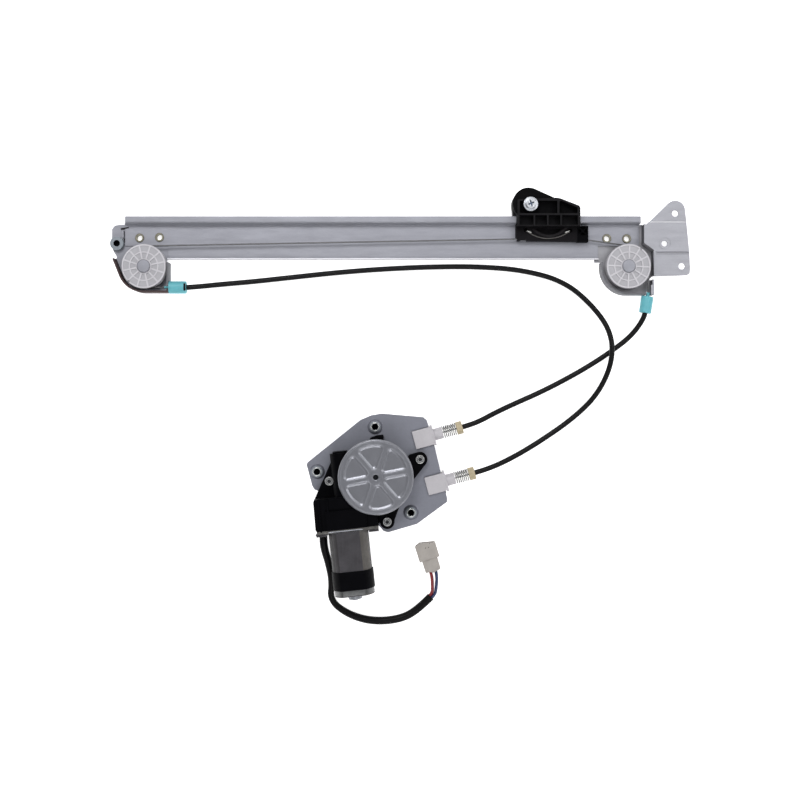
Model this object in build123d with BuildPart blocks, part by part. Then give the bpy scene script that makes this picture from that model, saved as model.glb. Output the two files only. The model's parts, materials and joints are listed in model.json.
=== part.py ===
from build123d import *
import math
import os

os.makedirs("parts", exist_ok=True)

# ---------------------------------------------------------------- placing
# Cable window regulator lying flat, +X along the rail to the end flange,
# +Y from the motor to the rail, +Z up from the surface it lies on. Millimetres.
GRID = 0.95  # mm per unit of the plan grid, at the surface
EYE = 1100.0  # height over the surface from which the plan grid is taken
OX, OY = -0.883, 7.053  # plan centre of the object without its loose cables


def at(u, v, z=0.0):
    """Plan grid point at height z, as x, y."""
    k = GRID * (1 - z / EYE)
    return ((u - 400) * k - OX, (400 - v) * k - OY)


def loc(x, y):
    return (x - OX, y - OY)


def row(z, *uv):
    return [at(u, v, z) for u, v in uv]


# ---------------------------------------------------------------- driving dimensions
SHEET = 1.5  # bracket and motor plate steel
RAIL_T = 1.2
WEB_Z = 3.0  # underside of the rail web
WEB_TOP = WEB_Z + RAIL_T
LIP_TOP = 12.0
RAIL_X0 = -260.2 - OX
RAIL_X1 = 226.4 - OX
Y_LIP_EDGE = 172.7 - OY
Y_WALL = 166.6 - OY
Y_FLANGE = 133.1 - OY
FLANGE_TOP = 7.6
BASE_Z = 1.5  # underside of the bracket base plates
GUARD_TOP = 15.5

CABLE_D = 1.5
CABLE_Z = 9.7  # cable plane at the pulleys
PULLEY_R = 20.9
PULLEY_GROOVE = 19.5  # cable centreline radius
PULLEY_Z0, PULLEY_Z1 = 4.8, 14.5
AXLE_R = 4.0
PL = loc(-240.4, 125.5)
PR = loc(214.6, 125.5)

CONDUIT_D = 5.0
FERRULE_R = 5.9
FERRULE_L = 16.2

C = loc(-22.14, -70.5)  # output shaft and drum axis
GUIDE_ANGLE = 15.2
DRUM_GROOVE = 22.3  # cable centreline radius on the drum
FEED_Z = 9.0
PLATE_Z0 = 15.0
PLATE_Z1 = PLATE_Z0 + SHEET

MOTOR_Z = 31.0
WHEEL_R = 26.5
WHEEL_N = 60
WORM_R = 4.3
CENTRES = WHEEL_R + WORM_R
WORM_PITCH = 2 * math.pi * WHEEL_R / WHEEL_N
MOTOR_TILT = 6.137
MOTOR_A = (math.sin(math.radians(MOTOR_TILT)), -math.cos(math.radians(MOTOR_TILT)))  # motor axis, from the gearbox to the end cap
S0 = -46.9  # station on the motor axis nearest the output shaft

ca, sa = math.cos(math.radians(GUIDE_ANGLE)), math.sin(math.radians(GUIDE_ANGLE))
drive = Plane(origin=(C[0], C[1], 0), x_dir=(ca, sa, 0), z_dir=(0, 0, 1))
M0 = (
    C[0] + CENTRES * MOTOR_A[1] - MOTOR_A[0] * S0,
    C[1] - CENTRES * MOTOR_A[0] - MOTOR_A[1] * S0,
)


def motor_plane(s):
    """Plane across the motor axis at station s: x is up, y points away from the output shaft."""
    return Plane(
        origin=(M0[0] + MOTOR_A[0] * s, M0[1] + MOTOR_A[1] * s, MOTOR_Z),
        x_dir=(0, 0, 1),
        z_dir=(MOTOR_A[0], MOTOR_A[1], 0),
    )


def polar(c, r, deg):
    return (c[0] + r * math.cos(math.radians(deg)), c[1] + r * math.sin(math.radians(deg)))


def tangent(c, r, p, side):
    """Angle on the circle at which a line from p touches it."""
    d = math.hypot(p[0] - c[0], p[1] - c[1])
    base = math.degrees(math.atan2(p[1] - c[1], p[0] - c[0]))
    return base + side * math.degrees(math.acos(r / d))


def cord_radii(points):
    """Arc radius at each corner of a cord's route."""
    out = []
    for a, b, c in zip(points, points[1:], points[2:]):
        p, q = Vector(*b) - Vector(*a), Vector(*c) - Vector(*b)
        out.append(0.45 * min(p.length, q.length) / math.tan(math.radians(p.get_angle(q)) / 2))
    return out


RIVETS = row(5, (139.5, 237.9), (159.3, 237.3), (606.9, 238.5), (626.8, 238.7))
NUT_LEFT = at(116.6, 243.3, 8)
PLATE_NUTS = row(20, (317.0, 471.8), (375.0, 426.9), (411.0, 512.8))
EARS = row(24, (329.3, 481.1), (420.1, 459.4), (387.2, 521.7))

# ---------------------------------------------------------------- rail
with BuildPart() as rail:
    with BuildSketch(Plane.YZ.offset(RAIL_X0)):
        with BuildLine():
            FilletPolyline(
                (Y_LIP_EDGE, LIP_TOP - RAIL_T / 2),
                (Y_WALL, LIP_TOP - RAIL_T / 2),
                (Y_WALL, WEB_Z + RAIL_T / 2),
                (Y_FLANGE, WEB_Z + RAIL_T / 2),
                (Y_FLANGE, FLANGE_TOP),
                radius=1.5,
            )
        trace(line_width=RAIL_T)
    extrude(amount=RAIL_X1 - RAIL_X0)
    # the web is cut away under both pulleys
    x_l, x_r, y_n = at(168, 0, 4)[0], at(598, 0, 4)[0], at(0, 246, 4)[1]
    with BuildSketch(Plane.XY.offset(WEB_Z - 1)):
        with BuildLine():
            Polyline(
                (RAIL_X0 - 2, y_n), (x_l, y_n), (x_l, Y_FLANGE - 4), (RAIL_X0 - 2, Y_FLANGE - 4), close=True
            )
        make_face()
        with BuildLine():
            Polyline(
                (RAIL_X1 + 2, y_n), (x_r, y_n), (x_r, Y_FLANGE - 4), (RAIL_X1 + 2, Y_FLANGE - 4), close=True
            )
        make_face()
    extrude(amount=12, mode=Mode.SUBTRACT)
    # the lip is cut back at the left end
    with BuildSketch(Plane.XY.offset(WEB_TOP + 2.5)):
        with Locations((RAIL_X0, Y_WALL + 2)):
            Rectangle(3.4, 14)
    extrude(amount=10, mode=Mode.SUBTRACT)
    with BuildSketch(Plane.XY.offset(WEB_Z - 1)):
        with Locations(*RIVETS):
            Circle(3.0)
    extrude(amount=4, mode=Mode.SUBTRACT)
rail.part.label = "rail"
export_step(rail.part, "parts/rail.step")

# ---------------------------------------------------------------- left bracket
XT = -217.25 - OX  # outer face of the ferrule wall
YB = PL[1] - 24.5  # outer face of the bottom guard wall
g_end = polar(PL, 24.5, 202)
g_dir = (-math.sin(math.radians(22)), math.cos(math.radians(22)))
g_tip = (g_end[0] + 17.5 * g_dir[0], g_end[1] + 17.5 * g_dir[1])
with BuildPart() as bracket_left:
    with BuildSketch(Plane.XY.offset(BASE_Z)):
        with BuildLine():
            Polyline(
                g_tip,
                at(117, 257, 3),
                at(113, 250, 3),
                at(112, 238, 3),
                at(112, 229, 3),
                at(115, 225.5, 3),
                (at(120, 0, 3)[0], Y_WALL - 0.6),
                (XT, Y_WALL - 0.6),
                (XT, YB),
                (PL[0], YB),
            )
            CenterArc(PL, 24.5, 270, -68)
            Line(g_end, g_tip)
        make_face()
        with Locations(NUT_LEFT):
            Circle(6.4)
    extrude(amount=SHEET)
    # guard wall round the pulley
    with BuildSketch(Plane.XY.offset(BASE_Z)):
        with BuildLine():
            Line((XT - 0.2, YB + 0.75), (PL[0], YB + 0.75))
            CenterArc(PL, 23.75, 270, -68)
            Line(
                polar(PL, 23.75, 202),
                (polar(PL, 23.75, 202)[0] + 17.5 * g_dir[0], polar(PL, 23.75, 202)[1] + 17.5 * g_dir[1]),
            )
        trace(line_width=SHEET)
    extrude(amount=GUARD_TOP - BASE_Z)
    # wall that the ferrule sits on, with the slot for its nose
    with BuildSketch(Plane.XY.offset(BASE_Z)):
        with BuildLine():
            Polyline((XT - SHEET, YB), (XT, YB), (XT, 129.2 - OY), (XT - SHEET, 129.2 - OY), close=True)
        make_face()
    extrude(amount=GUARD_TOP - BASE_Z)
    with BuildSketch(Plane.XY.offset(CABLE_Z - 1.4)):
        with Locations((XT, PL[1] - PULLEY_GROOVE)):
            Rectangle(6, 2.9)
    extrude(amount=10, mode=Mode.SUBTRACT)
    # notch between the wall and the rail
    with BuildSketch(Plane.XY.offset(BASE_Z - 1)):
        with Locations((XT - 1.2, 131.3 - OY)):
            Rectangle(4.4, 4.1)
    extrude(amount=SHEET + 2, mode=Mode.SUBTRACT)
    # tab that closes the rail's end
    with BuildSketch(Plane.XY.offset(BASE_Z)):
        with BuildLine():
            Polyline(
                (RAIL_X0 - 1.9, 160.0 - OY), (RAIL_X0 - 0.7, 160.0 - OY),
                (RAIL_X0 - 0.7, 153.2 - OY), (RAIL_X0 - 1.9, 153.2 - OY), close=True,
            )
        make_face()
    extrude(amount=5.5)
    with BuildSketch(Plane.XY):
        with Locations(*RIVETS[:2]):
            Circle(3.0)
        with Locations(NUT_LEFT):
            Circle(4.5)
        with Locations(PL):
            Circle(3.5)
    extrude(amount=4, mode=Mode.SUBTRACT)
bracket_left.part.label = "bracket_left"
export_step(bracket_left.part, "parts/bracket_left.step")

# ---------------------------------------------------------------- right bracket with the end flange
YB2 = PR[1] - 26.7  # outer face of the bottom guard wall
FL_Z1 = 15.5
step_path = [
    (229.45 - OX, at(0, 226, 3)[1]),
    (229.45 - OX, at(0, 243.6, 8)[1]),
    (238.75 - OX, at(0, 250.7, 8)[1]),
    (238.75 - OX, at(0, 276, 8)[1]),
]
nose_r = loc(233.6, 101.6)  # nose tip of the right ferrule
seat_r = loc(233.0, 97.3)  # where the ferrule body meets the bracket
tail_r = loc(230.6, 81.9)
with BuildPart() as bracket_right:
    with BuildSketch(Plane.XY.offset(BASE_Z)):
        with BuildLine():
            Polyline(
                (184.0 - OX, Y_WALL - 0.6),
                (step_path[0][0], Y_WALL - 0.6),
                step_path[0],
                step_path[1],
                step_path[2],
                step_path[3],
                at(649.3, 279, 2),
                at(648.6, 288, 2),
                (at(644.2, 0, 2)[0], YB2),
                (PR[0] - 2.0, YB2),
            )
            ThreePointArc((PR[0] - 2.0, YB2), polar(PR, 26.6, 222), (PR[0] - 26.0, PR[1] - 3.0))
            Polyline(
                (PR[0] - 26.0, PR[1] - 3.0), at(602, 262.8, 2), (184.0 - OX, at(0, 262.8, 2)[1]), (184.0 - OX, Y_WALL - 0.6)
            )
        make_face()
    extrude(amount=SHEET)
    # guard wall round the pulley
    with BuildSketch(Plane.XY.offset(BASE_Z)):
        with BuildLine():
            Line((at(643.6, 0, 2)[0], YB2 + 0.75), (PR[0] - 2.0, YB2 + 0.75))
            ThreePointArc((PR[0] - 2.0, YB2 + 0.75), polar(PR, 25.85, 222), (PR[0] - 25.25, PR[1] - 3.0))
            Line((PR[0] - 25.25, PR[1] - 3.0), (PR[0] - 25.25, PR[1] + 3.6))
        trace(line_width=SHEET)
    extrude(amount=GUARD_TOP - BASE_Z)
    # stepped wall up to the end flange
    with BuildSketch(Plane.XY.offset(BASE_Z)):
        with BuildLine():
            Polyline(*step_path)
        trace(line_width=SHEET)
    extrude(amount=FL_Z1 - BASE_Z)
    # end flange: middle field, then a lower field one step down
    with BuildSketch(Plane.XY.offset(FL_Z1 - SHEET)):
        with BuildLine():
            Polyline(
                (step_path[0][0] - 0.75, step_path[0][1]),
                *row(15.5, (646.2, 224.4), (649.3, 221.6), (686.4, 221.6), (689.4, 252.4), (653.4, 252.4)),
                (step_path[2][0] - 0.75, step_path[2][1] - 0.2),
                (step_path[1][0] - 0.75, step_path[1][1] - 0.35),
                close=True,
            )
        make_face()
    extrude(amount=SHEET)
    with BuildSketch(Plane.XY.offset(FL_Z1 - 2 * SHEET + 0.3)):
        with BuildLine():
            Polyline(
                *row(14.3, (653.2, 250.8), (689.3, 250.8), (690.2, 269.5), (689.6, 273.6), (686.8, 275.3)),
                (step_path[3][0] - 0.75, at(0, 276.2, 14.3)[1]),
                close=True,
            )
        make_face()
    extrude(amount=SHEET)
    # upper lobe, one small step down from the middle field
    with BuildSketch(Plane.XY.offset(FL_Z1 - SHEET - 0.9)):
        with BuildLine():
            Polyline(at(676.0, 200.72, 14.6), at(675.2, 200.7, 14.6))
            ThreePointArc(at(675.2, 200.7, 14.6), at(671.1, 201.5, 14.6), at(668.0, 203.7, 14.6))
            Polyline(at(668.0, 203.7, 14.6), at(648.6, 222.6, 14.6), at(686.5, 222.6, 14.6), at(685, 208.8, 14.6))
            ThreePointArc(at(685, 208.8, 14.6), at(682.0, 203.2, 14.6), at(676.0, 200.72, 14.6))
        make_face()
    extrude(amount=SHEET)
    # tab that holds the ferrule from the right, with its hook
    with BuildSketch(Plane.XY.offset(BASE_Z)):
        with BuildLine():
            Polyline(
                (237.0 - OX, 113.2 - OY), (238.5 - OX, 113.2 - OY),
                (238.5 - OX, 98.8 - OY), (237.0 - OX, 98.8 - OY), close=True,
            )
        make_face()
    extrude(amount=12.0)
    with BuildSketch(Plane.XY.offset(BASE_Z)):
        with BuildLine():
            Polyline(
                (233.0 - OX, 113.5 - OY), (238.5 - OX, 113.5 - OY),
                (238.5 - OX, 98.8 - OY), (234.5 - OX, 98.8 - OY), close=True,
            )
        make_face()
    extrude(amount=SHEET)
    with BuildSketch(Plane.XY.offset(13.2)):
        with BuildLine():
            Polyline(
                (235.4 - OX, 107.6 - OY), (238.5 - OX, 109.2 - OY),
                (238.5 - OX, 98.8 - OY), (235.4 - OX, 98.8 - OY), close=True,
            )
        make_face()
    extrude(amount=1.2)
    with BuildSketch(Plane.XY):
        with Locations(*RIVETS[2:]):
            Circle(3.0)
        with Locations(PR):
            Circle(3.5)
    extrude(amount=4, mode=Mode.SUBTRACT)
    FLANGE_HOLES = row(15, (675.2, 213.4), (664.4, 243.6), (681.9, 266.1))
    with BuildSketch(Plane.XY.offset(10)):
        with Locations(FLANGE_HOLES[0], FLANGE_HOLES[2]):
            Circle(3.0)
        with Locations(FLANGE_HOLES[1]):
            Circle(2.65)
    extrude(amount=8, mode=Mode.SUBTRACT)
    # pressed ring round the middle hole
    with BuildSketch(Plane.XY.offset(FL_Z1)):
        with Locations(FLANGE_HOLES[1]):
            Circle(5.8)
            Circle(4.9, mode=Mode.SUBTRACT)
    extrude(amount=-0.3, mode=Mode.SUBTRACT)
bracket_right.part.label = "bracket_right"
export_step(bracket_right.part, "parts/bracket_right.step")

# ---------------------------------------------------------------- rail rivets
with BuildPart() as hollow_rivets:
    with BuildSketch(Plane.XY):
        with Locations(*RIVETS):
            Circle(3.9)
    extrude(amount=BASE_Z)
    with BuildSketch(Plane.XY.offset(BASE_Z)):
        with Locations(*RIVETS):
            Circle(3.0)
    extrude(amount=WEB_TOP - BASE_Z)
    with BuildSketch(Plane.XY.offset(WEB_TOP)):
        with Locations(*RIVETS):
            Circle(4.4)
    extrude(amount=1.0, taper=25)
    with BuildSketch(Plane.XY.offset(-1)):
        with Locations(*RIVETS):
            Circle(2.6)
    extrude(amount=10, mode=Mode.SUBTRACT)
hollow_rivets.part.label = "hollow_rivets"
export_step(hollow_rivets.part, "parts/hollow_rivets.step")

# ---------------------------------------------------------------- M6 rivet nuts, one on the left bracket and three on the motor plate
NUT_BORE = 3.0
with BuildPart() as rivet_nuts:
    with BuildSketch(Plane.XY.offset(0.3)):
        with Locations(NUT_LEFT):
            Circle(6.0)
    extrude(amount=BASE_Z - 0.3)
    with BuildSketch(Plane.XY.offset(BASE_Z)):
        with Locations(NUT_LEFT):
            Circle(4.5)
    extrude(amount=SHEET)
    with BuildSketch(Plane.XY.offset(3.0)):
        with Locations(NUT_LEFT):
            Circle(6.6)
    extrude(amount=5.0, taper=3)
    with BuildSketch(Plane.XY.offset(8.0)):
        with Locations(*PLATE_NUTS):
            Circle(4.4)
    extrude(amount=12.7)
    with BuildSketch(Plane.XY.offset(18.7)):
        with Locations(*PLATE_NUTS):
            Circle(5.1)
    extrude(amount=0.9)
    with BuildSketch(Plane.XY.offset(10.2)):
        with Locations(*PLATE_NUTS):
            Circle(5.6)
    extrude(amount=4.8)
    # closed at the bottom
    with BuildSketch(Plane.XY.offset(1.1)):
        with Locations(NUT_LEFT):
            Circle(NUT_BORE)
    extrude(amount=10, mode=Mode.SUBTRACT)
    with BuildSketch(Plane.XY.offset(9.2)):
        with Locations(*PLATE_NUTS):
            Circle(NUT_BORE)
    extrude(amount=20, mode=Mode.SUBTRACT)
rivet_nuts.part.label = "rivet_nuts"
export_step(rivet_nuts.part, "parts/rivet_nuts.step")

# ---------------------------------------------------------------- pulleys on their riveted axles
with BuildPart() as pulley_axles:
    for c in (PL, PR):
        with BuildSketch(Plane(origin=(c[0], c[1], 0), x_dir=(1, 0, 0), z_dir=(0, -1, 0))):
            with BuildLine():
                Polyline(
                    (0, 0), (5.0, 0), (5.0, 1.5), (3.5, 1.5), (3.5, 3.0), (6.0, 3.0), (6.0, 4.5), (AXLE_R, 4.5),
                    (AXLE_R, 14.8), (6.3, 14.8), (6.3, 15.9), (5.5, 16.5), (0, 16.7), close=True,
                )
            make_face()
        revolve(axis=Axis((c[0], c[1], 0), (0, 0, 1)))
pulley_axles.part.label = "pulley_axles"
export_step(pulley_axles.part, "parts/pulley_axles.step")


def pulley_section():
    return [
        (AXLE_R + 0.06, PULLEY_Z0), (19.9, PULLEY_Z0), (PULLEY_R, PULLEY_Z0 + 0.8), (PULLEY_R, 7.1), (18.4, CABLE_Z - 1.15),
        (18.4, CABLE_Z + 1.15), (PULLEY_R, 12.3), (PULLEY_R, PULLEY_Z1 - 0.6), (PULLEY_R - 0.6, PULLEY_Z1), (AXLE_R + 0.06, PULLEY_Z1),
    ]


with BuildPart() as pulley_left:
    with BuildSketch(Plane(origin=(PL[0], PL[1], 0), x_dir=(1, 0, 0), z_dir=(0, -1, 0))):
        with BuildLine():
            Polyline(*pulley_section(), close=True)
        make_face()
    revolve(axis=Axis((PL[0], PL[1], 0), (0, 0, 1)))
    with BuildSketch(Plane(origin=(PL[0], PL[1], PULLEY_Z1), x_dir=(1, 0, 0), z_dir=(0, 0, 1))):
        Circle(19.2)
        Circle(13.9, mode=Mode.SUBTRACT)
        with PolarLocations(16.5, 12, start_angle=12):
            Rectangle(8, 1.5, mode=Mode.SUBTRACT)
    extrude(amount=-0.7, mode=Mode.SUBTRACT)
    with BuildSketch(Plane(origin=(PL[0], PL[1], PULLEY_Z1), x_dir=(1, 0, 0), z_dir=(0, 0, 1))):
        Circle(12.7)
        Circle(7.4, mode=Mode.SUBTRACT)
        with PolarLocations(10, 12, start_angle=12):
            Rectangle(8, 1.5, mode=Mode.SUBTRACT)
    extrude(amount=-1.0, mode=Mode.SUBTRACT)
    # notch in the rim that the cable end passes
    with BuildSketch(Plane(origin=(PL[0], PL[1], 12.4), x_dir=(1, 0, 0), z_dir=(0, 0, 1))):
        with PolarLocations(20.6, 1, start_angle=225):
            Rectangle(2.6, 2.2)
    extrude(amount=3, mode=Mode.SUBTRACT)
pulley_left.part.label = "pulley_left"
export_step(pulley_left.part, "parts/pulley_left.step")

with BuildPart() as pulley_right:
    with BuildSketch(Plane(origin=(PR[0], PR[1], 0), x_dir=(1, 0, 0), z_dir=(0, -1, 0))):
        with BuildLine():
            Polyline(*pulley_section(), close=True)
        make_face()
    revolve(axis=Axis((PR[0], PR[1], 0), (0, 0, 1)))
    with BuildSketch(Plane(origin=(PR[0], PR[1], PULLEY_Z1), x_dir=(1, 0, 0), z_dir=(0, 0, 1))):
        Circle(19.2)
        Circle(13.9, mode=Mode.SUBTRACT)
        with PolarLocations(16.5, 12, start_angle=28):
            Rectangle(8, 1.5, mode=Mode.SUBTRACT)
    extrude(amount=-0.7, mode=Mode.SUBTRACT)
    with BuildSketch(Plane(origin=(PR[0], PR[1], PULLEY_Z1), x_dir=(1, 0, 0), z_dir=(0, 0, 1))):
        Circle(12.7)
        Circle(7.4, mode=Mode.SUBTRACT)
        with PolarLocations(10, 12, start_angle=28):
            Rectangle(8, 1.5, mode=Mode.SUBTRACT)
    extrude(amount=-1.0, mode=Mode.SUBTRACT)
    with BuildSketch(Plane(origin=(PR[0], PR[1], 12.4), x_dir=(1, 0, 0), z_dir=(0, 0, 1))):
        with PolarLocations(20.6, 1, start_angle=55):
            Rectangle(2.6, 2.2)
    extrude(amount=3, mode=Mode.SUBTRACT)
pulley_right.part.label = "pulley_right"
export_step(pulley_right.part, "parts/pulley_right.step")

# ---------------------------------------------------------------- glass carrier on the rail
BODY_Z0, BODY_Z1 = 12.3, 24.0
LOBE = at(527.3, 205.0, 12)
LOBE_R = 14.6
SCREW = at(531.1, 203.5, 25)
CAR_L = at(517, 0, 22)[0]
CAR_R = at(580.5, 0, 24)[0]
carrier_outline = row(
    24, (517.6, 225.6), (517.6, 206), (517.6, 199.2), (556.5, 197.6), (560.3, 198.2), (578.9, 205.4), (580.5, 207.4), (580.5, 225.6)
)
lobe_web = [
    (LOBE[0] + 5.5, LOBE[1] + LOBE_R * 0.932),
    at(556.5, 198.6, 22),
    at(556.5, 214, 22),
    at(517.6, 216, 22),
    (LOBE[0] - LOBE_R + 0.6, LOBE[1] - 3.5),
]
with BuildPart() as glass_carrier:
    with BuildSketch(Plane.XY.offset(BODY_Z0)):
        with BuildLine():
            Polyline(*carrier_outline, close=True)
        make_face()
    extrude(amount=BODY_Z1 - BODY_Z0)
    with BuildSketch(Plane.XY.offset(BODY_Z0)):
        with Locations(LOBE):
            Circle(LOBE_R)
        with BuildLine():
            Polyline(*lobe_web, close=True)
        make_face()
    extrude(amount=22.0 - BODY_Z0)
    # moulded bays between the ribs
    with BuildSketch(Plane.XY.offset(BODY_Z1)):
        for a, b, c, d in (
            (519.8, 557.3, 200.6, 213.2), (534.9 + 24.6, 577.6, 201.4, 213.2),
            (519.6, 533.6, 215.0, 224.8), (535.2, 547.0, 215.0, 224.8),
            (548.6, 560.4, 215.0, 224.8), (562.0, 577.9, 215.0, 224.8),
        ):
            p, q = at(a, c, 24), at(b, d, 24)
            with BuildLine():
                if a == 534.9 + 24.6:
                    Polyline(p, at(561.5, 200.6, 24), at(577.6, 207.4, 24), q, (p[0], q[1]), close=True)
                else:
                    Polyline(p, (q[0], p[1]), q, (p[0], q[1]), close=True)
            make_face()
    extrude(amount=-8.6, mode=Mode.SUBTRACT)
    # screw boss with its bore
    with BuildSketch(Plane.XY.offset(BODY_Z0)):
        with Locations(SCREW):
            Circle(7.6)
    extrude(amount=22.0 - BODY_Z0)
    with BuildSketch(Plane.XY.offset(BODY_Z0 - 1)):
        with Locations(SCREW):
            Circle(3.1)
    extrude(amount=14, mode=Mode.SUBTRACT)
    with BuildSketch(Plane.XY.offset(22.0)):
        with Locations(SCREW):
            Circle(7.5)
    extrude(amount=4, mode=Mode.SUBTRACT)
glass_carrier.part.label = "glass_carrier"
export_step(glass_carrier.part, "parts/glass_carrier.step")

Y_CLEAR = Y_WALL + 0.95  # back of the lip wall, with running clearance
with BuildPart() as carrier_back:
    # rear half, from under the lip's edge upward to the lobe
    with BuildSketch(Plane.XY.offset(3.0)):
        with Locations(LOBE):
            Circle(LOBE_R)
        with BuildLine():
            Polyline(
                (LOBE[0] + 5.5, LOBE[1] + LOBE_R * 0.932),
                at(556.5, 198.8, 12), at(578.4, 206.2, 12),
                (at(578.4, 0, 12)[0], Y_CLEAR), (at(513.4, 0, 12)[0], Y_CLEAR), (LOBE[0] - LOBE_R + 0.3, LOBE[1] - 2.5),
                close=True,
            )
        make_face()
    extrude(amount=BODY_Z0 - 3.0)
    # nothing of it reaches below the lip wall line, and the lip runs in a groove
    with BuildSketch(Plane.XY.offset(2.0)):
        with BuildLine():
            Polyline(
                (at(500, 0)[0], Y_CLEAR), (at(600, 0)[0], Y_CLEAR), (at(600, 0)[0], Y_CLEAR - 30),
                (at(500, 0)[0], Y_CLEAR - 30), close=True,
            )
        make_face()
    extrude(amount=14, mode=Mode.SUBTRACT)
    with BuildSketch(Plane.XY.offset(10.5)):
        with BuildLine():
            Polyline(
                (at(500, 0)[0], Y_LIP_EDGE + 0.4), (at(600, 0)[0], Y_LIP_EDGE + 0.4),
                (at(600, 0)[0], Y_CLEAR - 4), (at(500, 0)[0], Y_CLEAR - 4), close=True,
            )
        make_face()
    extrude(amount=4, mode=Mode.SUBTRACT)
    with BuildSketch(Plane.XY.offset(2.0)):
        with Locations(SCREW):
            Circle(3.1)
    extrude(amount=14, mode=Mode.SUBTRACT)
carrier_back.part.label = "carrier_back"
export_step(carrier_back.part, "parts/carrier_back.step")

SHOE_Z0, SHOE_Z1 = 4.5, 12.25
SHOE_X0, SHOE_X1 = 108.9 - OX, 166.4 - OX
SHOE_Y0, SHOE_Y1 = 149.9 - OY, 165.5 - OY
anchor_l = loc(114.5, 151.6)  # cable ends in the carrier
anchor_r = loc(170.5, 150.6)
BOW_A, BOW_M, BOW_B = at(526.6, 230.8, 13), at(547.2, 238.4, 13), at(569.6, 231.2, 13)
with BuildPart() as slide_shoe:
    with BuildSketch(Plane.XY.offset(SHOE_Z0)):
        with BuildLine():
            Polyline(
                (SHOE_X0 + 2.0, SHOE_Y0), (SHOE_X1, SHOE_Y0 - 0.8), (SHOE_X1, SHOE_Y1), (SHOE_X0, SHOE_Y1),
                (SHOE_X0, SHOE_Y0 + 2.0), close=True,
            )
        make_face()
    extrude(amount=SHOE_Z1 - SHOE_Z0)
    # recess over the bow
    with BuildSketch(Plane.XY.offset(SHOE_Z1)):
        with BuildLine():
            Polyline(at(535.5, 228.6, 12), at(561.5, 228.6, 12))
            ThreePointArc(at(561.5, 228.6, 12), at(548.3, 235.0, 12), at(535.5, 228.6, 12))
        make_face()
    extrude(amount=-4.5, mode=Mode.SUBTRACT)
    # holes for the ends of the bow spring
    with BuildSketch(Plane.XY.offset(SHOE_Z1)):
        with Locations((BOW_A[0] - 0.7, BOW_A[1] + 0.8), (BOW_B[0] + 0.7, BOW_B[1] + 0.8)):
            Circle(1.9)
    extrude(amount=-5.0, mode=Mode.SUBTRACT)
    # pocket and slot for the left cable end
    with BuildSketch(Plane.XY.offset(SHOE_Z0 - 1)):
        with Locations((anchor_l[0] + 1.5, anchor_l[1])):
            Rectangle(6.2, 4.6)
        with Locations((SHOE_X0 + 2.4, anchor_l[1])):
            Rectangle(8, 1.9)
    extrude(amount=CABLE_Z + 2.15 - SHOE_Z0 + 1, mode=Mode.SUBTRACT)
slide_shoe.part.label = "slide_shoe"
export_step(slide_shoe.part, "parts/slide_shoe.step")

RET_X0, RET_X1 = SHOE_X1 + 0.1, 176.9 - OX
RET_Y0, RET_Y1 = 148.6 - OY, 163.6 - OY
with BuildPart() as cable_retainer:
    with BuildSketch(Plane.XY.offset(SHOE_Z0)):
        with Locations(((RET_X0 + RET_X1) / 2, (RET_Y0 + RET_Y1) / 2)):
            Rectangle(RET_X1 - RET_X0, RET_Y1 - RET_Y0)
    extrude(amount=12.2 - SHOE_Z0)
    with BuildSketch(Plane.XY.offset(12.2)):
        with Locations(((RET_X0 + RET_X1) / 2, 158.7 - OY)):
            Rectangle(RET_X1 - RET_X0 - 2.4, 7.4)
        with Locations(Location(((RET_X0 + RET_X1) / 2, 158.7 - OY), 42), Location(((RET_X0 + RET_X1) / 2, 158.7 - OY), -42)):
            Rectangle(16, 1.1, mode=Mode.SUBTRACT)
    extrude(amount=-4.0, mode=Mode.SUBTRACT)
    with BuildSketch(Plane.XY.offset(SHOE_Z0 - 1)):
        with Locations((anchor_r[0] + 1.0, anchor_r[1] + 0.4)):
            Rectangle(6.0, 3.6)
        with Locations((RET_X1 - 1.5, anchor_r[1] + 0.1)):
            Rectangle(6, 2.6)
    extrude(amount=CABLE_Z + 1.8 - SHOE_Z0 + 1, mode=Mode.SUBTRACT)
cable_retainer.part.label = "cable_retainer"
export_step(cable_retainer.part, "parts/cable_retainer.step")

with BuildPart() as bow_spring:
    with BuildLine(Plane.XY.offset(12.85)):
        ThreePointArc(BOW_A, BOW_M, BOW_B)
    bow_path = bow_spring.pending_edges[0]
    with BuildSketch(Plane(origin=bow_path @ 0, z_dir=bow_path % 0)):
        Circle(0.55)
    sweep()
    with BuildSketch(Plane.XY.offset(8.2)):
        with Locations(BOW_A, BOW_B):
            Circle(0.55)
    extrude(amount=4.65)
    with Locations((BOW_A[0], BOW_A[1], 12.85), (BOW_B[0], BOW_B[1], 12.85)):
        Sphere(0.55)
bow_spring.part.label = "bow_spring"
export_step(bow_spring.part, "parts/bow_spring.step")

with BuildPart() as clamp_screw:
    with BuildSketch(Plane.XY.offset(0.4)):
        with Locations(SCREW):
            Circle(3.0)
    extrude(amount=24.0)
    with BuildSketch(Plane.XY.offset(22.0)):
        with Locations(SCREW):
            Circle(6.9)
    extrude(amount=1.5, taper=10)
    with BuildSketch(Plane.XY.offset(23.5)):
        with Locations(SCREW):
            Circle(5.2)
    extrude(amount=2.9, taper=12)
    with BuildSketch(Plane.XY.offset(26.4)):
        with Locations(SCREW):
            Rectangle(5.6, 1.3, rotation=20)
            Rectangle(1.3, 5.6, rotation=20)
    extrude(amount=-2.2, mode=Mode.SUBTRACT)
clamp_screw.part.label = "clamp_screw"
export_step(clamp_screw.part, "parts/clamp_screw.step")

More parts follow.
